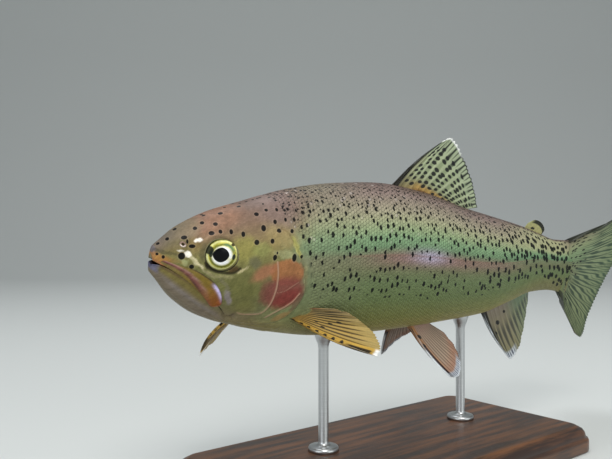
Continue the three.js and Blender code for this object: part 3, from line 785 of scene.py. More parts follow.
def maxilla_tint(share, level):
    """Olive to rust along the bone, with a rose lower edge ahead and a painted violet-white highlight on
    its upper rear.
    """
    tint = over(
        blend(linear("77683c"), linear("7d692d"), smooth(0.1, 0.5, share)[..., None]),
        (smooth(0.52, 0.9, share), "855328"),
        (0.7 * smooth(0.8, 0.97, share) * smooth(0.3, 0.7, level), "8c4a27"),
    )
    strip = level - np.interp(share, MAXILLA_STRIP[0], MAXILLA_STRIP[1])
    ahead = 1 - smooth(0.5, 0.8, share)
    tint = over(
        tint,
        (0.9 * ridge(strip, 0.17) * (0.35 + 0.65 * ahead), "7d4a4b"),
        (0.7 * ridge(strip + 0.12, 0.07) * ahead, "42242b"),
        (0.6 * ridge(strip - 0.15, 0.06) * ahead, "a98580"),
        (0.75 * smooth(0.88, 0.99, level) * smooth(0.2, 0.4, share), "3a2f2c"),
    )
    # painted highlight: violet-white along the upper edge of the bone's rear
    painted_highlight = smooth(0.6, 0.7, share) * (1 - smooth(0.78, 0.97, share))
    return over(
        tint,
        (0.95 * painted_highlight * ridge(level - 0.9, 0.1), "cfc4ee"),
        (0.5 * smooth(0.955, 0.985, share), "a88472"),
    )


def maxilla(side):
    """Across the bone a level runs from 0 at its foot to 1 at its top, out over a low crown and
    back underneath, while the share runs along it to a rounded square end."""
    share = np.linspace(0.004, 0.996, 90)[:, None]
    around = (np.arange(36) * 2 * np.pi / 36)[None]
    top, foot = MAXILLA_TOP(share[:, 0]), MAXILLA_FOOT(share[:, 0])
    ends = np.minimum(1, np.minimum(share / 0.05, (1 - share) / 0.06))
    full = np.sqrt(1 - (1 - ends) ** 2)
    across = np.sign(np.cos(around)) * np.abs(np.cos(around)) ** 0.7 * full
    level = 0.5 + 0.5 * across
    x = blend(foot[:, :1], top[:, :1], level)
    z = blend(foot[:, 1:], top[:, 1:], level)
    rise = np.sin(around)
    crown = 0.2 + 0.75 * smooth(0, 0.3, share) - 0.3 * ridge(level - 0.55, 0.16) * smooth(0.3, 0.6, share)
    lift = np.where(rise > 0, crown * np.abs(rise) ** 0.5, 1.6 * rise) * np.sqrt(ends)
    rings = on_flank(x, z, side, lift)
    values = values_at(rings, x, side * angle_at(x, z), maxilla_tint(share + 0 * level, level))
    values["marks"][..., 0] = FAR
    return outward(tube(rings, **values))


for side in (-1, 1):
    skin_parts.append(maxilla(side))
print("each upper jaw bone:", len(skin_parts[-1].points), "points")

# %% The gill covers
COVER_MIDDLE = np.array([66.5, -8.0])
COVER_LIFT = 0.75


def gill_cover(side):
    """Rings from the middle to the outline, then down round its edge and under the skin."""
    outline = loop_through(GILL_COVER, 150)
    share = np.concatenate([np.linspace(0.02, 1, 42) ** 0.75, [1.0, 0.99]])[:, None, None]
    place = COVER_MIDDLE + (outline[None] - COVER_MIDDLE) * share
    x, z = place[..., 0], place[..., 1]
    free = smooth(54, 66, x + 0.25 * np.abs(z + 6) - 1.5)
    lift = blend(-0.7, COVER_LIFT, free) - 0.45 * smooth(0.93, 1, share[..., 0]) ** 2
    lift[-2], lift[-1] = lift[-2] - 0.5, -1.6
    slit = 0.8 * ridge(near_path(x, z, GILL_SLIT), 1.1)
    rings = on_flank(x, z, side, lift + relief(x, z) + slit + COAT_DEPTH * scaly(x, z))
    values = values_at(rings, x, side * angle_at(x, z))
    values["coat"] *= 0
    return outward(tube(rings, **values))


for side in (-1, 1):
    skin_parts.append(gill_cover(side))
print("each gill cover:", len(skin_parts[-1].points), "points")


# %% Rims of the eyes and nostrils
def rim(side, middle, radii, thick, lift, tints, count=96, sides=12):
    """A closed ring of small circles: out along the flank's normal and across the outline. Its
    tint goes from the first colour above to the second below."""
    turn = (np.arange(count) * 2 * np.pi / count)[:, None]
    around = (np.arange(sides) * 2 * np.pi / sides)[None]
    reach = 1 + thick / min(radii) * np.cos(around)
    x = middle[0] + radii[0] * reach * np.cos(turn)
    z = middle[1] + radii[1] * reach * np.sin(turn)
    rings = on_flank(x, z, side, lift + thick * np.sin(around))
    low = smooth(-0.3, 0.7, -np.sin(turn)) + 0 * around
    colour = blend(linear(tints[0]), linear(tints[1]), low[..., None])
    values = values_at(rings, x, side * angle_at(x, z), colour)
    values["marks"][...] = FAR
    flat = {name: value.reshape(count * sides, -1) for name, value in values.items()}
    rows = grid_faces(count, sides)
    last = (count - 1) * sides
    c = np.arange(sides)
    closing = np.stack([last + c, c, (c + 1) % sides, last + (c + 1) % sides], -1)
    return outward(Surface(rings, [rows, closing], **flat))


for side in (-1, 1):
    # the eye's rim is dark below as painted shade in the fold under the eye
    skin_parts.append(rim(side, (EYE_AT, EYE_LEVEL), (EYE_LONG + 0.2, EYE_HIGH + 0.2), 0.36,
                          -0.3, ("7d7858", "262317")))
    skin_parts.append(rim(side, NOSTRIL, (1.05, 0.95), 0.32, 0.05, ("8d7468", "d6c4bc"), 36, 10))

skin = Surface.join(skin_parts)
skin.points = pose(skin.points)
skin_piece = put("skin", skin)

# %% [markdown]
# ## Glass eyes
# A trout's eye is a low dome in a shallow socket, turned a little forwards. The iris is one disc
# of rings whose middle swells into the round lens, and a few rings more close it behind. Its
# place across the iris is stored, so that the material can paint rings and not a picture.

# %% The eyes
EYE_CENTRE = (33.1, 10.4, 5.9)
EYE_TURN = math.radians(13)
IRIS_RIM, IRIS_APEX, LENS_SWELL = 3.5, 5.25, 0.35
PUPIL_AT = (-0.12, 0.04)  # the trout's pupil sits a little forward, in shares of the iris
PUPIL_LONG, PUPIL_HIGH = 0.5, 0.48


def eye(side):
    """out = rim + (apex - rim) * (1 - r^2), plus a low cap over the pupil."""
    share = np.concatenate([np.linspace(0.02, 1, 34), [1.0, 0.8]])[:, None]
    turn = (np.arange(80) * 2 * np.pi / 80)[None]
    a, b = share * np.cos(turn), share * np.sin(turn)
    lens = np.clip(1 - ((a - PUPIL_AT[0]) / PUPIL_LONG) ** 2 - ((b - PUPIL_AT[1]) / PUPIL_HIGH) ** 2, 0, 1)
    rise = IRIS_RIM + (IRIS_APEX - IRIS_RIM) * (1 - share ** 2) + LENS_SWELL * lens ** 0.7
    rise[-2], rise[-1] = IRIS_RIM - 1.2, IRIS_RIM - 3
    along = np.array([math.cos(EYE_TURN), side * math.sin(EYE_TURN), 0])
    out = np.array([-math.sin(EYE_TURN), side * math.cos(EYE_TURN), 0])
    up = np.array([0, 0, 1.0])
    middle = np.array(EYE_CENTRE) * [1, side, 1]
    rings = (middle + EYE_LONG * a[..., None] * along + EYE_HIGH * b[..., None] * up
             + rise[..., None] * out)
    iris = np.stack([a, b, np.broadcast_to(share, a.shape)], -1)
    ball = outward(tube(rings, iris=iris))
    ball.points = pose(ball.points)
    return ball


eyes = {word: put(f"eye_{word}_glass", eye(side)) for word, side in (("left", -1), ("right", 1))}

# %% [markdown]
# ## Fins
# A fin is a fan of stiff rays joined by a thin web. Its middle sheet runs from a root on the body
# to a free margin. The thickness comes from the rays: each ray is a low round ridge that splits
# in two and spreads towards the margin, and the web between them is a few tenths of a
# millimetre. The same ray count drives the ridges, the dark streaks and the spots.

# %% Curves and rays
def centripetal(points):
    """A Catmull-Rom curve whose knots are the square root of the chords apart, by the share of
    its stretches. The ends are extended straight."""
    p = np.asarray(points, float)
    p = np.concatenate([[2 * p[0] - p[1]], p, [2 * p[-1] - p[-2]]])
    count = len(p) - 2

    def curve(share):
        place = np.clip(share, 0, 1) * (count - 1)
        i = np.minimum(place.astype(int), count - 2)
        t = (place - i)[..., None]
        p0, p1, p2, p3 = (p[i + k] for k in range(4))
        d0, d1, d2 = (np.sqrt(np.linalg.norm(b - a, axis=-1, keepdims=True))
                      for a, b in ((p0, p1), (p1, p2), (p2, p3)))
        start = d1 * ((p1 - p0) / d0 - (p2 - p0) / (d0 + d1) + (p2 - p1) / d1)
        stop = d1 * ((p2 - p1) / d1 - (p3 - p1) / (d1 + d2) + (p3 - p2) / d2)
        bend = 3 * (p2 - p1) - 2 * start - stop
        return p1 + t * (start + t * (bend + t * (2 * (p1 - p2) + start + stop)))

    return curve


def straight_ray(root, margin, v):
    return blend(root, margin, v[..., None])


TAIL_START, TAIL_OUT, TAIL_UP, TAIL_ROOT = 338.0, 51.0, 64.5, 19.0
TAIL_SWEEP, TAIL_SPAN, TAIL_HUG, TAIL_LEVEL = -18.6, 60.0, 0.7, 0.5
TAIL_TWIST = math.radians(20)


def tail_ray(root, margin, v):
    """A ray hugs the middle first and flares near its tip, on a swept and twisted sheet."""
    out = blend(root[..., 0], margin[..., 0], v)
    up = blend(root[..., 2], margin[..., 2], v * blend(TAIL_HUG, 1, v))
    twist = TAIL_TWIST * smooth(0, 20, out)
    sweep = TAIL_SWEEP * (np.maximum(out, 0) / TAIL_SPAN) ** 2
    return np.stack([TAIL_START + out, sweep - up * np.sin(twist),
                     up * np.cos(twist) - TAIL_LEVEL], -1)


print("the tail's upper tip:", tail_ray(np.zeros(3), np.array([TAIL_OUT, 0, TAIL_UP]), np.array(1.0)))


# %% A fin from its rays
def to_ray(phase, v, split):
    """The distance, in ray spacings, to the nearest ray or to its nearer half once it splits."""
    off = np.abs(phase - np.round(phase))
    return np.abs(off - 0.24 * smooth(split, 1.0, v))


SUNK = 4.0  # how deep a fin's root lies in the body
FIN_STEPS, RAY_STEPS = 56, 9
FLESHY_TO = 0.22  # the share of a ray over which the flesh at its root thins out


def fin(spec):
    """middle(u, v) = the ray from root(u) to margin(u) at v, plus the bow, which fades from the
    leading ray. Each ring runs out along one face of a ray and back along the other."""
    rays = spec["rays"]
    u = np.linspace(0, 1, rays * RAY_STEPS + 1)[:, None]
    v = (np.linspace(0, 1, FIN_STEPS) ** 0.9)[None]
    phase = u * rays
    web = 1 - np.clip(1 - to_ray(phase, 1.0, spec["split"]) * 4, 0, 1)
    reach = 1 - spec["fray"] * web * smooth(0.02, 0.06, np.minimum(u, 1 - u))
    root, margin = centripetal(spec["root"]), centripetal(spec["margin"])
    carry = spec.get("place", straight_ray)
    bow = np.array(spec["bow"], float)

    def middle(u, v):
        u, v = np.broadcast_arrays(u, v)
        sag = (np.sin(np.pi * v) * (1 - u) ** 2)[..., None] * bow
        return carry(root(u), margin(u), v) + sag

    v = v * reach
    step = 0.01
    across = middle(np.minimum(u + step, 1), v) - middle(np.maximum(u - step, 0), v)
    along = middle(u, np.minimum(v + step, 1)) - middle(u, np.maximum(v - step, 0))
    normal = unit(np.cross(across, along))
    off = to_ray(phase, v, spec["split"])
    ridge_height = ridge(off, 0.15) * blend(spec["stout"], 0.28, smooth(0, 0.8, v))
    lead = ridge(u, 0.018) * spec["stout"] * (1 - 0.7 * v)
    flesh = spec["fleshy"] * (1 - smooth(0, spec.get("fleshy_to", FLESHY_TO), v)) ** 2
    thick = 0.3 + ridge_height + 0.8 * lead + flesh - 0.12 * smooth(0.85, 1, v)
    ripple = spec["ripple"] * np.sin(phase * np.pi) * smooth(0.2, 1, v)
    faces = [middle(u, v) + normal * (ripple + side * thick / 2)[..., None] for side in (1, -1)]
    rings = np.concatenate([faces[0], faces[1][:, ::-1]], 1)
    phase, u, v = (np.broadcast_to(field, v.shape) for field in (phase, u, v))
    phase, u, v = (np.concatenate([field, field[:, ::-1]], 1) for field in (phase, u, v))
    flecks = np.full(v.shape, FAR)
    for at_u, at_v, wide, long in spec["flecks"]:
        flecks = np.minimum(flecks, np.hypot((u - at_u) / wide, (v - at_v) / long))
    sheet = outward(tube(rings, ray=np.stack([phase, v, u], -1), paint=spec["paint"](u, v, phase),
                         fleck=flecks[..., None]))
    sheet.points = pose(sheet.points)
    return sheet


def on_back(x):
    return (x, 0, float(back(x)) - SUNK)


def on_belly(x):
    return (x, 0, SUNK - float(belly(x)))


print("the dorsal fin's front root:", on_back(147.5))

# %% [markdown]
# ## Paint for the fins
# Each fin has its own colours, but the same few habits: a fleshy base that takes the body's
# colour, pale rays with darker web between them, a light leading edge, and a white or streaked
# tip. They are functions of the place on the fin: across from the leading ray, and out from the
# root.

# %% Habits of every fin
def base_colours(root, middle, tip, u, v):
    """The colour runs from root to middle to tip along every ray."""
    colour = blend(linear(root), linear(middle), smooth(0.02, 0.4, v)[..., None])
    return over(colour, (smooth(0.55, 1.0, v) + 0 * u, tip))


def web_of(phase, v, split, thin=0.13):
    """0 on the rays, 1 on the web halfway between them."""
    return smooth(thin, thin + 0.13, to_ray(phase, v, split))


def below(limit, x, soft=0.015):
    """1 under a limit, fading to 0 just past it."""
    return 1 - smooth(limit, limit + soft, x)


def streaked(colour, phase, v, code, strength, split, start):
    """Darkens the web between the rays, from a share of their length on."""
    return over(colour, (strength * web_of(phase, v, split) * smooth(start, start + 0.25, v), code))


print("the web between two rays:", float(web_of(0.5, 0.0, 0.5)))


# %% Colours of the fins on the back and the tail
def paint_dorsal(u, v, phase):
    colour = base_colours("8a774c", "8d9874", "8a9c80", u, v)
    colour = over(
        colour,
        (0.8 * below(0.16, v, 0.08) * smooth(0.15, 0.35, u), "b08a44"),
        (0.8 * below(0.11, v, 0.03) * smooth(0.2, 0.4, u), "5b3517"),
        (0.6 * below(0.1, u, 0.06) * below(0.55, v, 0.2), "6e6646"),
        (0.45 * (1 - web_of(phase, v, 0.5)) * smooth(0.15, 0.4, v), "c4cba6"),
    )
    dark = web_of(phase, v, 0.5, 0.1) * smooth(0.76, 0.84, v + 0.08 * below(0.4, u, 0.2))
    return over(
        colour,
        (0.95 * dark * smooth(0.06, 0.14, u), "10130f"),
        (0.95 * smooth(0.962, 0.975, v) * smooth(0.4, 0.5, u), "10140f"),
        (0.95 * smooth(0.955, 0.975, v) * below(0.4, u, 0.1), "f4f5f2"),
        (0.95 * below(blend(0.06, 0.02, v), u) * below(0.93, v, 0.05), "0d0d0a"),
    )


def paint_adipose(u, v, phase):
    colour = base_colours("a39a68", "a8a36f", "a3a46f", u, v)
    rim_dark = np.maximum(smooth(0.74, 0.8, v) * smooth(0.1, 0.3, u), smooth(0.9, 0.95, u))
    return over(colour, (0.97 * rim_dark, "0c0e0a"))


def paint_tail(u, v, phase):
    colour = base_colours("7f8a66", "63755a", "4f664d", u, v)
    colour = over(colour, (0.7 * smooth(0.5, 0.8, u) * smooth(0.1, 0.4, v), "59623f"))
    wavy = phase + 0.2 * np.sin(v * 9 + phase * 1.7) + 0.12 * np.sin(v * 21 + phase * 4.1)
    colour = over(
        colour,
        (0.55 * (1 - web_of(wavy, v, 0.25, 0.06)) * smooth(0.1, 0.3, v), "98a077"),
    )
    colour = streaked(colour, wavy, v, "2a3a2f", 0.75, 0.25, 0.22)
    root = blend(banded(TRUNK_BANDS, 0.92 - 0.68 * u + 0 * v), linear("757a58"), 0.5)
    colour = blend(root, colour, smooth(0.2, 0.5, v + 0.06 * np.sin(phase * 2.1))[..., None])
    return over(
        colour,
        (0.85 * below(0.012, np.minimum(u, 1 - u)), "1b211b"),
        (0.5 * smooth(0.9, 1.0, v), "2f4032"),
        (0.5 * smooth(0.88, 1.0, v) * smooth(0.9, 0.98, u), "6e5a5c"),
    )


print("the adipose fin's rim:", paint_adipose(0.5, np.array(0.95), 4.0).round(3))


# %% Colours of the fins below
def paint_anal(u, v, phase):
    colour = base_colours("83786a", "7f765f", "787250", u, v)
    colour = over(
        colour,
        (0.8 * smooth(0.35, 0.75, u) * smooth(0.02, 0.15, v), "5b7756"),
        (0.3 * (1 - web_of(phase, v, 0.5)) * smooth(0.2, 0.5, v), "98936a"),
    )
    colour = streaked(colour, phase, v, "22281f", 0.8, 0.5, 0.3)
    tip = smooth(0.84, 0.9, v) * below(0.3, u, 0.12)
    return over(
        colour,
        (0.95 * tip, "dfe5ea"),
        (0.95 * tip * web_of(phase, v, 0.5, 0.04) * below(0.96, v), "162044"),
        (0.95 * below(0.085, u) * below(0.86, v, 0.05), "14130f"),
        (0.97 * below(0.036, u) * smooth(0.12, 0.3, v), "e8eff4"),
    )


def paint_pectoral(u, v, phase):
    colour = base_colours("9a7a3a", "a9893f", "a08d52", u, v)
    colour = over(
        colour,
        (0.85 * smooth(0.45, 0.75, u) * smooth(0.1, 0.35, v), "635b42"),
        (0.4 * smooth(0.6, 0.9, u) * smooth(0.45, 0.8, v), "746a5e"),
        (0.5 * (1 - web_of(phase, v, 0.6)) * smooth(0.1, 0.3, v), "bd9f60"),
    )
    lines = web_of(phase, v, 0.6, 0.24) * smooth(0.02, 0.2, v) * below(0.92, v, 0.06)
    return over(
        colour,
        (0.92 * lines, "271a0b"),
        (0.9 * below(0.16, u, 0.04) * smooth(0.05, 0.1, v), "c49c3f"),
        (0.95 * below(0.1, u) * smooth(0.6, 0.68, v) * below(0.9, v), "100d08"),
        (0.7 * smooth(0.96, 1.0, u) * below(0.5, v, 0.2), "70382a"),
        (0.97 * smooth(0.93, 0.955, v) * below(0.13, u, 0.08), "fbfbf8"),
    )


def paint_pelvic(u, v, phase):
    colour = base_colours("95796a", "9a8873", "94745a", u, v)
    colour = over(
        colour,
        (0.7 * smooth(0.66, 0.88, v) * below(0.8, u, 0.2), "965f3e"),
        (0.85 * below(0.13, u, 0.08) * below(0.7, v, 0.2), "a5713c"),
        (0.35 * (1 - web_of(phase, v, 0.5)) * smooth(0.1, 0.4, v), "b59a8c"),
    )
    colour = streaked(colour, phase, v, "5a463c", 0.55, 0.5, 0.1)
    tip = smooth(0.87, 0.92, v) * below(0.5, u, 0.15)
    return over(
        colour,
        (0.95 * tip, "dde4ea"),
        (0.95 * tip * web_of(phase, v, 0.5, 0.04) * below(0.965, v), "18204a"),
        (0.9 * below(0.11, u) * smooth(0.3, 0.4, v) * below(0.9, v), "1e1420"),
        (0.85 * smooth(0.965, 0.98, v) * smooth(0.5, 0.6, u), "3a2a22"),
        (0.95 * below(0.05, u) * smooth(0.35, 0.5, v), "e6ecf0"),
    )


print("the anal fin's leading edge:", paint_anal(0.0, np.array(0.5), 0.0).round(2))

# %% Flecks on the fins
FLECK_SEED = 7
rng = np.random.default_rng(FLECK_SEED)


def rows_of_flecks(rays, rows, first, last, slant):
    """Ovals between the rays, row after row, each row set a little further along its ray."""
    flecks = []
    for row in range(rows):
        for ray in range(1, rays):
            v = first + (last - first) * (row + slant * (ray % 2)) / rows
            v += rng.uniform(-0.02, 0.02)
            wide, long = rng.uniform(0.024, 0.033), rng.uniform(0.022, 0.032)
            if rng.random() < 0.95:
                flecks.append(((ray + 0.5 + rng.uniform(-0.14, 0.14)) / rays, v, wide, long))
    return flecks


EDGE_DASHES = [(0.02, v, 0.13, 0.022) for v in (0.13, 0.21, 0.3, 0.39, 0.48, 0.575)]
TAIL_FLECKS = [
    ((ray + rng.uniform(0.2, 0.8)) / 15, 0.1 + 0.062 * row + rng.uniform(-0.02, 0.02),
     rng.uniform(0.012, 0.019) * (1 - 0.1 * row), rng.uniform(0.018, 0.026))
    for row in range(6) for ray in range(15) if rng.random() < 1 - 0.09 * row
]

print("tail flecks:", len(TAIL_FLECKS))

# %% The eight fins' shapes
PECTORAL = dict(rays=13, split=0.6, fray=0.02, stout=0.8, fleshy=2.0, ripple=0.3, paint=paint_pectoral)
PELVIC = dict(bow=(-1.5, 0, -1.5), rays=14, split=0.5, fray=0.018, stout=0.7, fleshy=2.0, ripple=0.2,
              paint=paint_pelvic)
PELVIC_FLECKS = [(0.14, 0.22, 0.055, 0.035), (0.09, 0.37, 0.04, 0.03)]

FINS = {
    "dorsal_fin": dict(
        root=[on_back(147.5), on_back(178), on_back(208.5)], bow=(-1.8, 0, 1.4),
        margin=[(185, 0, 76.8), (191, 0, 79), (206.5, 0, 67), (220, 0, 52), (229, 0, 37.5)],
        rays=12, split=0.5, fray=0.025, stout=0.9, fleshy=2.2, ripple=0.25, paint=paint_dorsal,
        flecks=rows_of_flecks(12, 8, 0.17, 0.84, 0.5),
    ),
    "adipose_fin": dict(
        root=[on_back(281), on_back(291), on_back(300)], bow=(0, 0, 0),
        margin=[(286, 0, 30), (293.5, 0, 32.6), (302, 0, 30.6), (306.5, 0, 26), (304.5, 0, 23)],
        rays=8, split=0.9, fray=0.0, stout=0.25, fleshy=2.0, ripple=0.0, paint=paint_adipose,
        flecks=[(0.35, 0.45, 0.09, 0.07)],
    ),
    "anal_fin": dict(
        root=[on_belly(254.5), on_belly(278), on_belly(301)], bow=(-1.5, 0, -1.5),
        margin=[(294, 1, -68.5), (300.5, 2, -72.6), (309, 4, -65.5), (314, 7, -53),
                (317.5, 10, -40), (318, 11, -29)],
        rays=12, split=0.5, fray=0.018, stout=0.85, fleshy=2.0, ripple=0.2, paint=paint_anal,
        flecks=[(0.24, 0.34, 0.034, 0.036), (0.14, 0.5, 0.022, 0.03), (0.4, 0.24, 0.022, 0.026)],
    ),
    "pectoral_fin_left": dict(
        root=[(79, -15, -27.5), (82, -16, -25.5), (86, -17, -22)], bow=(0, 0, -2.6),
        margin=[(129, -37.5, -44.5), (131.5, -36.5, -41), (129.5, -32, -34), (120, -28, -27),
                (111, -26.5, -22.5), (100, -25.5, -20)],
        **PECTORAL,
        flecks=EDGE_DASHES + [(0.3, 0.34, 0.02, 0.026), (0.45, 0.45, 0.02, 0.032),
                              (0.52, 0.6, 0.022, 0.036), (0.4, 0.27, 0.018, 0.022),
                              (0.02, 0.04, 0.08, 0.02)],
    ),
    "pectoral_fin_right": dict(
        root=[(79, 15, -27.5), (82, 16, -25.5), (86, 17, -22)], bow=(-7, 3, -2.5),
        margin=[(67.5, 45, -74), (70.5, 48, -73), (77.5, 50, -69), (86, 50.5, -58.5),
                (92, 46.5, -46.5), (94.5, 39, -36)],
        **PECTORAL, flecks=EDGE_DASHES,
    ),
    "pelvic_fin_left": dict(
        root=[(181, -7.5, -39.5), (191, -6.5, -39.5), (199, -5.5, -39)],
        margin=[(212, -25.5, -70), (216, -28.5, -68.8), (220.5, -25.5, -65), (224, -19.5, -60),
                (224, -12.5, -54), (217, -6.5, -46.5)],
        **PELVIC, flecks=PELVIC_FLECKS + [(0.02, 0.1, 0.04, 0.03)],
    ),
    "pelvic_fin_right": dict(
        root=[(181, 7.5, -39.5), (191, 6.5, -39.5), (199, 5.5, -39)],
        margin=[(201, 28.5, -77), (205, 30, -76), (209.5, 29, -70), (213, 25, -63),
                (214.5, 17, -55), (212, 9.5, -47.5)],
        **PELVIC, flecks=PELVIC_FLECKS,
    ),
    "caudal_fin": dict(
        root=[(0, 0, TAIL_ROOT), (0, 0, 0), (-1, 0, -TAIL_ROOT)], bow=(0, 0, 0),
        margin=[(TAIL_OUT * out, 0, TAIL_UP * up) for out, up in (
            (0.82, 0.93), (0.97, 0.995), (1.0, 0.95), (0.965, 0.7), (0.925, 0.4), (0.9, 0.12),
            (0.9, -0.12), (0.925, -0.4), (0.97, -0.7), (1.04, -0.95), (1.03, -0.995), (0.9, -0.935),
        )],
        rays=36, split=0.25, fray=0.02, stout=0.8, fleshy=4.8, fleshy_to=0.42, ripple=0.12,
        paint=paint_tail,
        place=tail_ray, flecks=TAIL_FLECKS,
    ),
}

print("fins:", ", ".join(FINS))

# %% The fins' meshes
fins = {name: put(name + "_rays", fin(spec)) for name, spec in FINS.items()}

# %% [markdown]
# ## Scales
# Trout scales are small and soft, about 130 along the lateral line, and each one's free edge
# points to the tail and lies over the next. Each is a low closed shell with a rounded rim: its
# front edge starts below the scale ahead of it and its rear edge stands a little proud. All of
# them are worked out together as one array, scale by point.

# %% Even spacing around a section
table_x = np.linspace(40, STANDARD_LENGTH, 120)
table_share = np.linspace(0, 1, 60)


def angle_table():
    """For each distance, the angles that part half the girth into equal arcs."""
    angle = np.linspace(0, np.pi, 241)
    rings = bare_flank(table_x[:, None], angle[None])
    arc = np.cumsum(np.linalg.norm(np.diff(rings, axis=1), axis=-1), 1)
    arc = np.concatenate([np.zeros((len(table_x), 1)), arc], 1)
    even = [np.interp(table_share * row[-1], row, angle) for row in arc]
    return np.array(even), arc[:, -1]


even_table, half_girth = angle_table()


def even_angle(x, share):
    """The table, read between its rows and columns."""
    i = np.clip((x - table_x[0]) / (table_x[1] - table_x[0]), 0, len(table_x) - 1.001)
    j = np.clip(share, 0, 1) * (len(table_share) - 1.001)
    i0, j0 = i.astype(int), j.astype(int)
    fi, fj = i - i0, j - j0
    low = blend(even_table[i0, j0], even_table[i0, j0 + 1], fj)
    high = blend(even_table[i0 + 1, j0], even_table[i0 + 1, j0 + 1], fj)
    return blend(low, high, fi)


print("half girth at the dorsal fin:", round(float(np.interp(160, table_x, half_girth)), 1), "mm")

# %% The coat of scales
SCALES_HALF_ROUND = 52  # scales from the back to the belly
SCALE_PITCH_FRONT, SCALE_PITCH_REAR = 2.0, 1.5
FIRST_SCALES = 57.0
RIM_POINTS, MIDDLE_RING = 12, 0.55  # the points of a scale's two rings, and the inner one's size
UV_LENGTH, UV_LEAF = 360.0, 0.0014  # mm across the whole chart, and half a scale's size on it
COAT_SEED = 11


def scale_columns():
    """Distances of the scale rows, whose pitch shrinks towards the tail."""
    places = [FIRST_SCALES]
    while places[-1] < STANDARD_LENGTH - 1.5:
        places.append(places[-1] + blend(SCALE_PITCH_FRONT, SCALE_PITCH_REAR,
                                         float(smooth(190, STANDARD_LENGTH, places[-1]))))
    return np.array(places)


def scale_coat(side, low, high):
    """Scales with their middles between two distances on one flank. Around a scale: p along the
    body and q across it, in half lengths; lift = front edge to rear edge with p, plus a dome."""
    columns = scale_columns()
    pitch = np.gradient(columns)
    i, j = np.meshgrid(np.arange(len(columns)), np.arange(SCALES_HALF_ROUND + 1), indexing="ij")
    share = (j + 0.5 * (i % 2)) / SCALES_HALF_ROUND
    x, pitch = columns[i], pitch[i]
    angle = side * even_angle(x, share)
    z = bare_flank(x, angle)[..., 2]
    keep = (scaly(x, z) > 0.12) & (x >= low) & (x < high) & (share <= 1)
    x, share, pitch, grown = x[keep], share[keep], pitch[keep], scaly(x, z)[keep]
    count = len(x)
    shake = np.random.default_rng(int(COAT_SEED + low + side)).uniform(-1, 1, (4, count))
    turn = np.arange(RIM_POINTS) * 2 * np.pi / RIM_POINTS
    ring_p, ring_q = np.cos(turn), np.sin(turn)
    p = np.concatenate([[0], MIDDLE_RING * ring_p, ring_p, [0]])
    q = np.concatenate([[0], MIDDLE_RING * ring_q, ring_q, [0]])
    r = np.concatenate([[0], np.full(RIM_POINTS, MIDDLE_RING), np.ones(RIM_POINTS), [0]])
    q = q * (1 - 0.1 * np.maximum(p, 0) ** 2)
    long = 0.86 * pitch * (1 + 0.06 * shake[0])
    wide = 0.6 / SCALES_HALF_ROUND
    px = x[:, None] + (p * long[:, None]) + 0.25 * pitch[:, None]
    ps = share[:, None] + q * wide + 0.06 * wide * shake[1][:, None]
    calm = 1 - 0.5 * smooth(0.5, 0.75, share[:, None])
    tilt = (blend(0.05, 0.1, grown[:, None]) + 0.03 * shake[2][:, None]) * calm
    lift = -COAT_DEPTH + 0.13 + tilt * p + 0.07 * (1 - r ** 2) + 0.03 * shake[3][:, None] * q
    lift[:, -1] = -COAT_DEPTH - 0.35
    px = np.minimum(px, STANDARD_LENGTH + 1)
    pa = side * even_angle(px, np.abs(ps))
    pa = np.where(ps < 0, -pa, pa)
    pa = np.where(ps > 1, 2 * np.pi * side - side * even_angle(px, 2 - ps), pa)
    points = flank(px, pa, lift * np.minimum(1, half(px) / 3))
    folded = np.where(np.abs(pa) > np.pi, pa - 2 * np.pi * np.sign(pa), pa)
    leaf = np.stack(np.broadcast_arrays(p[None], r[None], shake[3][:, None]), -1)
    leaf_u = (x / UV_LENGTH)[:, None] + p * UV_LEAF
    leaf_v = 0.5 + (side * share / 2 * 0.98)[:, None] + q * UV_LEAF
    base = (np.arange(count) * len(p))[:, None, None]
    k = np.arange(RIM_POINTS)
    following = (k + 1) % RIM_POINTS
    crown = np.stack([0 * k, 1 + k, 1 + following], -1)
    quads = np.stack([1 + k, 1 + RIM_POINTS + k, 1 + RIM_POINTS + following, 1 + following], -1)
    under = np.stack([0 * k + 1 + 2 * RIM_POINTS, 1 + RIM_POINTS + following, 1 + RIM_POINTS + k], -1)
    faces = [(base + part).reshape(-1, part.shape[1]) for part in (crown, quads, under)]
    coat = outward(Surface(
        points, faces, paint=paint(px, folded).reshape(-1, 3),
        chart=chart_of(px, folded).reshape(-1, 3), leaf=leaf.reshape(-1, 3),
    ))
    coat.points = pose(coat.points)
    return coat, np.stack([leaf_u.ravel(), leaf_v.ravel()], -1)


COAT_PARTS = [("front", 0, 160), ("middle", 160, 255), ("rear", 255, STANDARD_LENGTH)]
scale_pieces = []
for word, side in (("left", -1), ("right", 1)):
    for part, low, high in COAT_PARTS:
        coat, uv = scale_coat(side, low, high)
        scale_pieces.append(put(f"scales_{word}_{part}", coat, uv))

# %% [markdown]
# ## Shader arithmetic
# A material is a small program. To read like one, a socket is wrapped in a class that turns
# + - * / and comparisons into Math nodes, and one method adds every other kind of node.

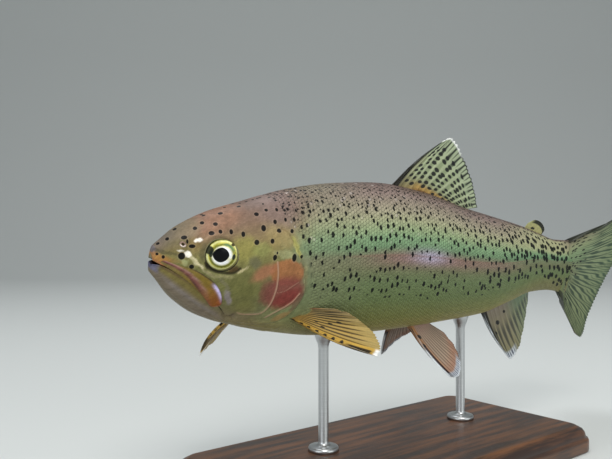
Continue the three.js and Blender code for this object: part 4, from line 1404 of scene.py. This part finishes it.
# %% Wires between nodes
class Wire:
    """One value travelling through a material. wire + 1 adds a Math node and returns its result."""

    def __init__(self, tree, socket):
        self.tree, self.socket = tree, socket

    def math(self, operation, *values, clamp=False):
        """A Math node in this wire's tree, over numbers and wires in their order."""
        node = self.tree.nodes.new("ShaderNodeMath")
        node.operation, node.use_clamp = operation, clamp
        for socket, value in zip(node.inputs, values):
            if isinstance(value, Wire):
                self.tree.links.new(value.socket, socket)
            else:
                socket.default_value = float(value)
        return Wire(self.tree, node.outputs[0])

    def __add__(self, other):
        return self.math("ADD", self, other)

    def __radd__(self, other):
        return self.math("ADD", other, self)

    def __sub__(self, other):
        return self.math("SUBTRACT", self, other)

    def __rsub__(self, other):
        return self.math("SUBTRACT", other, self)

    def __mul__(self, other):
        return self.math("MULTIPLY", self, other)

    def __rmul__(self, other):
        return self.math("MULTIPLY", other, self)

    def __truediv__(self, other):
        return self.math("DIVIDE", self, other)

    def __rtruediv__(self, other):
        return self.math("DIVIDE", other, self)

    def __pow__(self, other):
        return self.math("POWER", self, other)

    def __gt__(self, other):
        return self.math("GREATER_THAN", self, other)

    def __abs__(self):
        return self.math("ABSOLUTE", self)

    def clamped(self):
        return self.math("ADD", self, 0, clamp=True)

    def sine(self):
        return self.math("SINE", self)

    def at_least(self, floor):
        return self.math("MAXIMUM", self, floor)

    def step(self, low, high):
        """0 below low, 1 above high, eased between. With high under low it falls instead."""
        t = ((self - low) / (high - low)).clamped()
        return t * t * (3 - 2 * t)


print("two wires joined by an operator are one node more")


# %% A finish under construction
class Finish:
    """A material under construction: its tree and its one surface shader."""

    def __init__(self, name, **constants):
        self.material = bpy.data.materials.new(name)
        self.material.use_nodes = True
        self.tree = self.material.node_tree
        self.surface = self.tree.nodes["Principled BSDF"]
        for word, value in constants.items():
            socket = word.replace("_", " ").title().replace("Ior", "IOR")
            self.surface.inputs[socket].default_value = value

    def node(self, kind, settings=None, inputs=None, output=0):
        """Adds a node: its settings first, then its sockets' values or links."""
        node = self.tree.nodes.new(kind)
        for key, value in (settings or {}).items():
            setattr(node, key, value)
        for key, value in (inputs or {}).items():
            if isinstance(value, Wire):
                self.tree.links.new(value.socket, node.inputs[key])
            else:
                node.inputs[key].default_value = value
        return Wire(self.tree, node.outputs[output])

    def parts(self, vector):
        """The three numbers of a vector or colour."""
        split = self.node("ShaderNodeSeparateXYZ", inputs={0: vector}).socket.node
        return [Wire(self.tree, split.outputs[k]) for k in range(3)]

    def attribute(self, name, output="Vector"):
        return self.node("ShaderNodeAttribute", {"attribute_name": name}, output=output)

    def vector(self, x, y, z=0.0):
        return self.node("ShaderNodeCombineXYZ", inputs={0: x, 1: y, 2: z})

    def noise(self, vector, scale, detail=2.0, roughness=0.5):
        return self.node("ShaderNodeTexNoise", inputs={
            "Vector": vector, "Scale": scale, "Detail": detail, "Roughness": roughness})

    def mix(self, share, a, b):
        """Colours a and b, which are wires or web colours, mixed by a share."""
        def colour(value):
            return value if isinstance(value, Wire) else (*linear(value), 1.0)
        return self.node("ShaderNodeMix", {"data_type": "RGBA", "clamp_factor": True},
                         {"Factor": share, 6: colour(a), 7: colour(b)}, output=2)

    def layers(self, colour, *layers):
        """The colour under layers of (share, colour), laid on one after the other."""
        for share, above in layers:
            colour = self.mix(share, colour, above)
        return colour

    def scale_colour(self, colour, amount):
        return self.node("ShaderNodeVectorMath", {"operation": "SCALE"}, {0: colour, 3: amount})

    def bump(self, height, strength, distance):
        return self.node("ShaderNodeBump", inputs={"Height": height, "Strength": strength,
                                                   "Distance": distance})

    def finish(self, **inputs):
        """Links the wires that vary over the surface to the shader."""
        for name, wire in inputs.items():
            self.tree.links.new(wire.socket, self.surface.inputs[name.replace("_", " ").title()])
        return self.material


print("a finish's own node adders:", [name for name in vars(Finish) if not name.startswith("_")])

# %% [markdown]
# ## The coat's finish
# Skin and scales share one recipe. Under it lies the paint of the chart. The small black spots
# come from cells laid over the unrolled flank: taller than wide, leaning, rarer on and under the
# pink band, and none on the belly. Towards the tail the cells grow longer and lower, and more of
# them are kept. Each cell is kept or dropped by its own random number. Head spots were listed
# and stored as distances.

# %% Spots in cells
BAND_LEVEL = 0.57
LATERAL_LEVEL = 0.6
SPOT_ACROSS, SPOT_UP, BACK_SPOT = 3.6, 5.0, 3.3  # mm between spots
SPOTS_STRETCH_FROM = 120
SPOT_STRETCH, SPOT_CLOSING, SPOT_LEAN = 0.0008, 0.0012, 0.2  # wider and closer rearwards, and slanted
INK = "06070a"


def cells_of(made, across, up):
    """A place's distance to the middle of its cell, and the cell's two random numbers."""
    near = made.node("ShaderNodeTexVoronoi", {"voronoi_dimensions": "2D"},
                     {"Vector": made.vector(across, up), "Scale": 1.0, "Randomness": 0.85})
    luck, size, _ = made.parts(Wire(made.tree, near.socket.node.outputs["Color"]))
    return near, luck, size


def body_spots(made, x, arc, share):
    """How dark the spots of the flank and the finer spots of the back make a place, 0 to 1."""
    past = (x - SPOTS_STRETCH_FROM).at_least(0)
    wobble = made.noise(made.vector(x, arc), 0.8, 1.0)
    cells, luck, size = cells_of(
        made, (x - past * past * SPOT_STRETCH - abs(arc) * SPOT_LEAN) / SPOT_ACROSS + wobble * 0.35,
        arc * (1 + past * SPOT_CLOSING) / SPOT_UP + wobble * 0.3)
    behind = x.step(180, 310)
    above = share.step(BAND_LEVEL, BAND_LEVEL + 0.07)
    low = (share + 0.22 * x.step(300, 335)).step(0.27, 0.4) * (0.72 + 0.15 * behind)
    wanted = above * (0.7 + 0.3 * behind) + (1 - above) * low
    in_band = 1 - abs((share - BAND_LEVEL) / 0.06).step(0.5, 1.2)
    kept = (wanted * (1 - in_band * (0.7 - 0.45 * behind))) > luck
    radius = (0.22 + 0.11 * size + 0.12 * behind) * (1 - 0.3 * share.step(0.85, 0.95))
    flank_spots = ((radius - cells) / 0.07).clamped() * kept
    cells, luck, size = cells_of(made, x / BACK_SPOT + wobble * 0.4, arc / BACK_SPOT + wobble * 0.4)
    kept = (share.step(0.82, 0.9) * 0.62 * x.step(330, 250)) > luck
    return flank_spots.at_least(((0.2 + 0.1 * size - cells) / 0.09).clamped() * kept * 0.9)


print("one cell of spots:", SPOT_ACROSS, "by", SPOT_UP, "mm at the shoulder")


# %% Skin and scales
def coat_finish(name, scales):
    """Paint, mottling, spots, bone lines and painted shade in the eye's groove; on scales also painted
    shade at each scale's covered front, a pale rim painted as a highlight and painted glints on a few
    leaves.
    """
    made = Finish(name, specular_ior_level=0.09, coat_weight=0.04, coat_roughness=0.15)
    base = made.attribute("paint")
    x, arc, share = made.parts(made.attribute("chart"))
    flat = made.vector(x, arc)
    grain = made.noise(flat, 0.3, 4.0, 0.6)
    fine = made.noise(flat, 2.2, 3.0, 0.6)
    tone_and_shade = 1 + (grain - 0.5) * 0.8 + (fine - 0.5) * 0.6
    rough = 0.4 + fine * 0.14
    spots = body_spots(made, x, arc, share)
    if scales:
        along, reach, luck = made.parts(made.attribute("leaf"))
        # painted shade: each scale's front, under the scale ahead, is darker; the rest is random tone
        tone_and_shade = tone_and_shade * (1 + luck * 0.06) * (1 - 0.1 * (1 - along.step(-0.8, 0.1)))
        colour = made.scale_colour(base, tone_and_shade)
        # painted highlight: a pale rim along each scale's free rear edge
        edge = reach.step(0.65, 1.0) * along.step(-0.1, 0.7)
        colour = made.mix(edge * 0.12, colour, "b9b4a0")
        # painted glint: a few scales on the upper flank are much paler, and also smoother and more
        # metallic
        painted_glint = luck.step(0.9, 0.97) * share.step(0.6, 0.85) * along.step(-0.6, 0.5)
        colour = made.mix(painted_glint * (0.5 - 0.3 * x.step(100, 200)), colour, "d9ccc4")
        line = abs(share - LATERAL_LEVEL).step(0.011, 0.004) * x.step(90, 120)
        colour = made.mix(line * 0.35, colour, "8f6a60")
        metal = 0.08 + painted_glint * 0.4
        rough = rough - painted_glint * 0.14
    else:
        near, pale, groove = made.parts(made.attribute("marks"))
        spots = spots * made.attribute("coat", "Fac")
        streaks = made.noise(made.vector(x * 0.35 + arc * 0.1, arc * 1.5), 1.0, 4.0, 0.65)
        mottle = made.noise(flat, 0.75, 3.0, 0.6)
        tone_and_shade = tone_and_shade * (1 + (streaks - 0.5) * 0.7 + (mottle - 0.5) * 0.6)
        colour = made.scale_colour(base, tone_and_shade)
        blotch = made.noise(flat, 0.16, 3.0, 0.6).step(0.4, 0.7)
        colour = made.layers(
            colour,
            (blotch * 0.22, made.scale_colour(base, 0.55)),
            (0.7 * pale.step(0.75, 0.15), "b08f78"),
            # painted shade: a dark line in the groove under the eye
            (0.8 * groove.step(0.95, 0.25), "2b2416"),
            (near.step(1.6, 1.1) * 0.12, "c9b09a"),
            (near.step(1.14, 0.92) * 0.97, INK),
        )
        metal = 0.05 + blotch * 0.04
    colour = made.layers(
        colour,
        (spots.step(0.0, 0.7) * (0.1 + 0.25 * x.step(160, 300)), "2f5a55"),
        (spots * 0.96, INK),
    )
    return made.finish(base_color=colour, roughness=rough, metallic=metal,
                       normal=made.bump(fine * 0.5 + grain, 0.35, 0.0002))


skin_finish = coat_finish("trout_skin", False)
scale_finish = coat_finish("trout_scales", True)
print("coat finishes:", skin_finish.name, scale_finish.name)

# %% [markdown]
# ## Fins, eyes, wood and steel
# The fins read their painted colour, their flecks and, for the fine joints of the rays, the
# distance out from the root. The eye paints its rings from the place on the iris. The stand is
# oiled walnut, whose grain is stretched noise along its length, and brushed steel.

# %% The fins' finish
def fin_finish():
    made = Finish("trout_fins", specular_ior_level=0.3, coat_weight=0.05, coat_roughness=0.2)
    phase, out, _ = made.parts(made.attribute("ray"))
    fleck = made.attribute("fleck", "Fac")
    dust = made.noise(made.vector(phase * 3, out * 40), 1.5, 3.0)
    fibre = made.noise(made.vector(phase * 9, out * 6), 1.0, 3.0)
    colour = made.scale_colour(made.attribute("paint"), 0.62 + dust * 0.4 + fibre * 0.36)
    edge = fleck + dust * 0.3
    colour = made.mix(edge.step(1.35, 1.0) * 0.96, colour, INK)
    joints = (out * 420).sine() * out.step(0.12, 0.3)
    return made.finish(base_color=colour, roughness=0.4 + dust * 0.14,
                       normal=made.bump(joints * 0.4 + dust, 0.4, 0.00015))


fin_material = fin_finish()
print("fins:", len(fin_material.node_tree.nodes), "nodes")


# %% The eye's finish
EYE_PATCHES = [  # middle and half sizes in shares of the iris, colour
    ((-0.84, 0.26), (0.25, 0.27), "11181a"), ((-0.72, 0.02), (0.1, 0.2), "1c241c"),
    ((0.72, -0.05), (0.11, 0.19), "16262a"), ((0.58, 0.74), (0.13, 0.1), "3a2c1a"),
]


def spot_on_eye(a, b, at, size):
    """How deep a place lies in a soft ellipse on the iris, from 0 to 1."""
    return (((a - at[0]) / size[0]) ** 2 + ((b - at[1]) / size[1]) ** 2).step(1.4, 0.7)


def eye_finish():
    """Gold-green iris, a white ring inside it, a silver ring round the pupil whose white is partly
    painted glint, dark patches fore and aft, and a black pupil whose outline lies between an ellipse and a
    diamond."""
    made = Finish("trout_eye", specular_ior_level=0.1, coat_weight=0.18, coat_roughness=0.03,
                  coat_ior=1.3)
    a, b, reach = made.parts(made.attribute("iris"))
    across = abs((a - PUPIL_AT[0]) / PUPIL_LONG) ** 1.75
    pupil = across + abs((b - PUPIL_AT[1]) / PUPIL_HIGH) ** 1.75
    streaks = made.noise(made.vector(a, b), 6.0, 4.0, 0.65)
    rings = made.noise(made.vector(reach * 2.6, a * 0.5, b * 0.5), 3.0, 2.0)
    colour = made.mix((streaks * 0.5 + rings * 0.6).step(0.38, 0.68), "7d7c26", "ece272")
    low = b.step(0.1, -0.3)
    band = reach.step(0.6, 0.7) * reach.step(0.86, 0.78)
    colour = made.layers(
        colour,
        (band * (0.35 + 0.5 * low), "586018"),
        (band * b.step(0.2, 0.5) * a.step(-0.2, 0.2) * 0.7, "4e7f62"),
        (reach.step(0.84, 0.9) * reach.step(0.99, 0.95) * (0.6 + 0.4 * low), "f6f6b4"),
    )
    # a silver ring round the pupil, brightened to white in places as painted glint
    silver_and_glint = spot_on_eye(a, b, (-0.02, -0.02), (0.6, 0.6))
    painted_glint = (streaks * 0.6 + abs(a * 0.5 + b)).step(0.25, 0.6)
    colour = made.mix(silver_and_glint * (0.45 + 0.55 * painted_glint), colour, "ffffff")
    for at, size, code in EYE_PATCHES:
        colour = made.mix(spot_on_eye(a, b, at, size) * 0.95, colour, code)
    colour = made.layers(
        colour,
        (reach.step(0.96, 1.0) * 0.8, "2b2c1c"),
        (pupil.step(1.08, 0.98), "020305"),
    )
    gold = pupil.step(1.0, 1.2) * reach.step(0.99, 0.93)
    return made.finish(base_color=colour, metallic=gold * 0.25, roughness=0.3 + 0.1 * streaks)


eye_material = eye_finish()
print("eyes:", len(eye_material.node_tree.nodes), "nodes")


# %% The stand's finishes
def wood_finish():
    made = Finish("stand_walnut", coat_weight=0.25, coat_roughness=0.22)
    place = made.node("ShaderNodeTexCoord", output="Object")
    stretched = made.node("ShaderNodeMapping", inputs={"Vector": place, "Scale": (9, 110, 110)})
    rings = made.noise(stretched, 1.6, 5.0, 0.62)
    needles = made.node("ShaderNodeMapping", inputs={"Vector": place, "Scale": (40, 900, 900)})
    pores = made.noise(needles, 1.0, 2.0, 0.6)
    colour = made.layers(
        "2c180d",
        (rings.step(0.35, 0.68), "6d4426"),
        (pores.step(0.62, 0.74) * 0.55, "1a0e08"),
    )
    return made.finish(base_color=colour, roughness=0.34 + rings * 0.2,
                       normal=made.bump(rings + pores * 0.6, 0.25, 0.0004))


def steel_finish():
    made = Finish("stand_steel", metallic=1.0)
    place = made.node("ShaderNodeTexCoord", output="Object")
    lines = made.node("ShaderNodeMapping", inputs={"Vector": place, "Scale": (60, 60, 4000)})
    brushed = made.noise(lines, 1.0, 3.0, 0.6)
    colour = made.mix(brushed, "a9abad", "c9cbcc")
    return made.finish(base_color=colour, roughness=0.24 + brushed * 0.18,
                       normal=made.bump(brushed, 0.12, 0.0001))


wood_material, steel_material = wood_finish(), steel_finish()
print("stand:", wood_material.name, steel_material.name)

# %% [markdown]
# ## The stand
# The base is a rounded rectangle with a stepped moulding: a profile carried round an outline.
# The rods are turned on a lathe, and each ends in a small cup whose flat top sinks into the belly.

# %% Base and rods
BASE_LENGTH, BASE_WIDTH, BASE_HEIGHT, BASE_CORNER = 250.0, 124.0, 16.0, 14.0
ROD_RADIUS, FOOT_RADIUS, CUP_RADIUS = 3.0, 9.0, 5.5
ROD_PLACES = {"stand_rod_front": 120.0, "stand_rod_rear": 238.0}


def rounded_rectangle(length, width, corner, count=160):
    """Straight sides joined by quarter circles, by the share of the way round."""
    turn = np.arange(count) * 2 * np.pi / count
    c, s = np.cos(turn), np.sin(turn)
    x = np.sign(c) * (length / 2 - corner) + corner * c
    y = np.sign(s) * (width / 2 - corner) + corner * s
    return x, y


def base_mesh():
    """Rings of one outline, moved in and up along a moulding."""
    moulding = [(1.4, 0), (0.4, 0.4), (0, 1.4), (0, 7.2), (0.5, 8.4), (1.6, 8.8), (1.8, 10.0),
                (2.4, 12.2), (3.6, 13.8), (5.2, 14.7), (6.2, 15.0), (6.8, 15.6), (7.8, 15.95),
                (9, BASE_HEIGHT), (30, BASE_HEIGHT)]
    rings = []
    for inset, height in moulding:
        x, y = rounded_rectangle(BASE_LENGTH - 2 * inset, BASE_WIDTH - 2 * inset,
                                 max(BASE_CORNER - inset * 0.8, 3))
        rings.append(np.stack([x, y, np.full_like(x, height)], -1))
    base = outward(tube(np.array(rings)))
    base.points = base.points * MM
    return base


def rod_mesh(at):
    """A lathe profile of radius and height, turned about the upright line under the belly."""
    low = pose(np.array([[at, 0, -float(belly(at))]]))[0] / MM
    top = low[2]
    profile = np.array([
        (FOOT_RADIUS, BASE_HEIGHT + 0.02), (FOOT_RADIUS, BASE_HEIGHT + 1.6),
        (FOOT_RADIUS - 0.5, BASE_HEIGHT + 2.6), (FOOT_RADIUS - 1.6, BASE_HEIGHT + 3),
        (ROD_RADIUS + 1.4, BASE_HEIGHT + 3.3), (ROD_RADIUS + 0.3, BASE_HEIGHT + 4.2),
        (ROD_RADIUS, BASE_HEIGHT + 5.5),
        (ROD_RADIUS, top - 9), (ROD_RADIUS + 0.4, top - 6.5), (ROD_RADIUS + 1.5, top - 4),
        (CUP_RADIUS - 0.4, top - 2), (CUP_RADIUS, top - 0.6), (CUP_RADIUS, top + 1.2),
        (CUP_RADIUS - 0.5, top + 1.9),
    ])
    turn = (np.arange(48) * 2 * np.pi / 48)[None]
    radius, height = profile[:, :1], profile[:, 1:]
    rings = np.stack([low[0] + radius * np.cos(turn), low[1] + radius * np.sin(turn),
                      height + 0 * turn], -1)
    rod = outward(tube(rings))
    rod.points = rod.points * MM
    return rod


base_piece = put("stand_base_wood", base_mesh())
rods = {name: put(name + "_steel", rod_mesh(at)) for name, at in ROD_PLACES.items()}

# %% [markdown]
# ## Everything rides on the model
# The fish has no joints, so every piece rides on its one body. Each new piece names the CAD
# nodes it stands for, and these are hidden.

# %% Riding and replacing
def place_piece(piece, material, slot, *nodes):
    piece.data.materials.append(material)
    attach(piece, "root")
    if nodes:
        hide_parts(*nodes)


place_piece(skin_piece, skin_finish, "skin", "head", "lower_jaw", "maxilla_left", "maxilla_right",
            "gill_cover_left", "gill_cover_right", "trunk", "tail_stalk")
for piece in scale_pieces:
    place_piece(piece, scale_finish, "skin")
for name, piece in fins.items():
    place_piece(piece, fin_material, "fins", name)
for word, piece in eyes.items():
    place_piece(piece, eye_material, "eyes", "eye_" + word)
place_piece(base_piece, wood_material, "wood", "stand_base")
for name, piece in rods.items():
    place_piece(piece, steel_material, "steel", name)
print("pieces:", 2 + len(scale_pieces) + len(fins) + len(eyes) + len(rods))

# %% [markdown]
# ## Camera, floor and light
# The camera looks level, from ahead of the left flank, close enough that the tail's upper tip
# leaves the frame. A pale floor curves up into a backdrop, and large soft lamps light the back
# from above as daylight would.

# %% Camera
CAMERA_HEADING = math.radians(-38.87)
camera_data = bpy.data.cameras.new("camera")
camera = bpy.data.objects.new("camera", camera_data)
camera.location = (-0.3144, -0.3007, 0.1452)
camera.rotation_euler = (math.radians(90), 0, CAMERA_HEADING)
camera_data.lens, camera_data.sensor_width = 41.14, 36.0
bpy.context.scene.collection.objects.link(camera)
bpy.context.scene.camera = camera
print("camera at:", [round(value, 3) for value in camera.location])


# %% Floor and backdrop
def backdrop_mesh():
    """A level floor that turns up in a large arc behind the fish, as seen by the camera."""
    arc = np.linspace(0, np.pi / 2, 24)
    radius, start = 1.2, 1.6
    away = np.concatenate([[-2.5], start + radius * np.sin(arc), [start + radius]])
    height = np.concatenate([[0], radius * (1 - np.cos(arc)), [3.5]])
    across = np.linspace(-4, 4, 9)[:, None]
    x, y = turned(across + 0 * away, away + 0 * across, CAMERA_HEADING)
    points = np.stack([x, y, height + 0 * across], -1)
    rows, columns = points.shape[:2]
    return Surface(points, [grid_faces(rows, columns, wrap=False)])


backdrop = put("backdrop", backdrop_mesh())
paper = Finish("backdrop_paper", roughness=0.9)
paper.surface.inputs["Base Color"].default_value = (0.6, 0.62, 0.61, 1)
backdrop.data.materials.append(paper.material)

# %% Lamps
LAMPS_AIM = (0.0, 0.0, 0.12)


def lamp(name, place, size, power, colour):
    data = bpy.data.lights.new(name, "AREA")
    data.shape, data.size, data.energy, data.color = "DISK", size, power, colour
    light = bpy.data.objects.new(name, data)
    light.location = place
    aim = np.array(LAMPS_AIM) - np.array(place)
    light.rotation_euler = (math.atan2(math.hypot(aim[0], aim[1]), -aim[2]), 0,
                            math.atan2(aim[1], aim[0]) - math.pi / 2)
    bpy.context.scene.collection.objects.link(light)


lamp("key", (-0.5, -0.9, 1.5), 1.0, 17.5, (1.0, 0.98, 0.95))
lamp("fill", (-1.5, -0.3, 0.5), 1.2, 6, (0.93, 0.97, 1.0))
lamp("top", (0.3, 0.3, 1.6), 1.2, 11, (0.95, 0.98, 1.0))
lamp("low", (0.3, -1.3, 0.25), 1.0, 4.8, (0.96, 1.0, 0.97))
world = bpy.data.worlds.new("studio")
world.use_nodes = True
world.node_tree.nodes["Background"].inputs["Color"].default_value = (0.85, 0.9, 0.92, 1)
world.node_tree.nodes["Background"].inputs["Strength"].default_value = 0.4
bpy.context.scene.world = world
bpy.context.scene.view_settings.view_transform = "Standard"
print("lamps aim at:", LAMPS_AIM)

# %% [markdown]
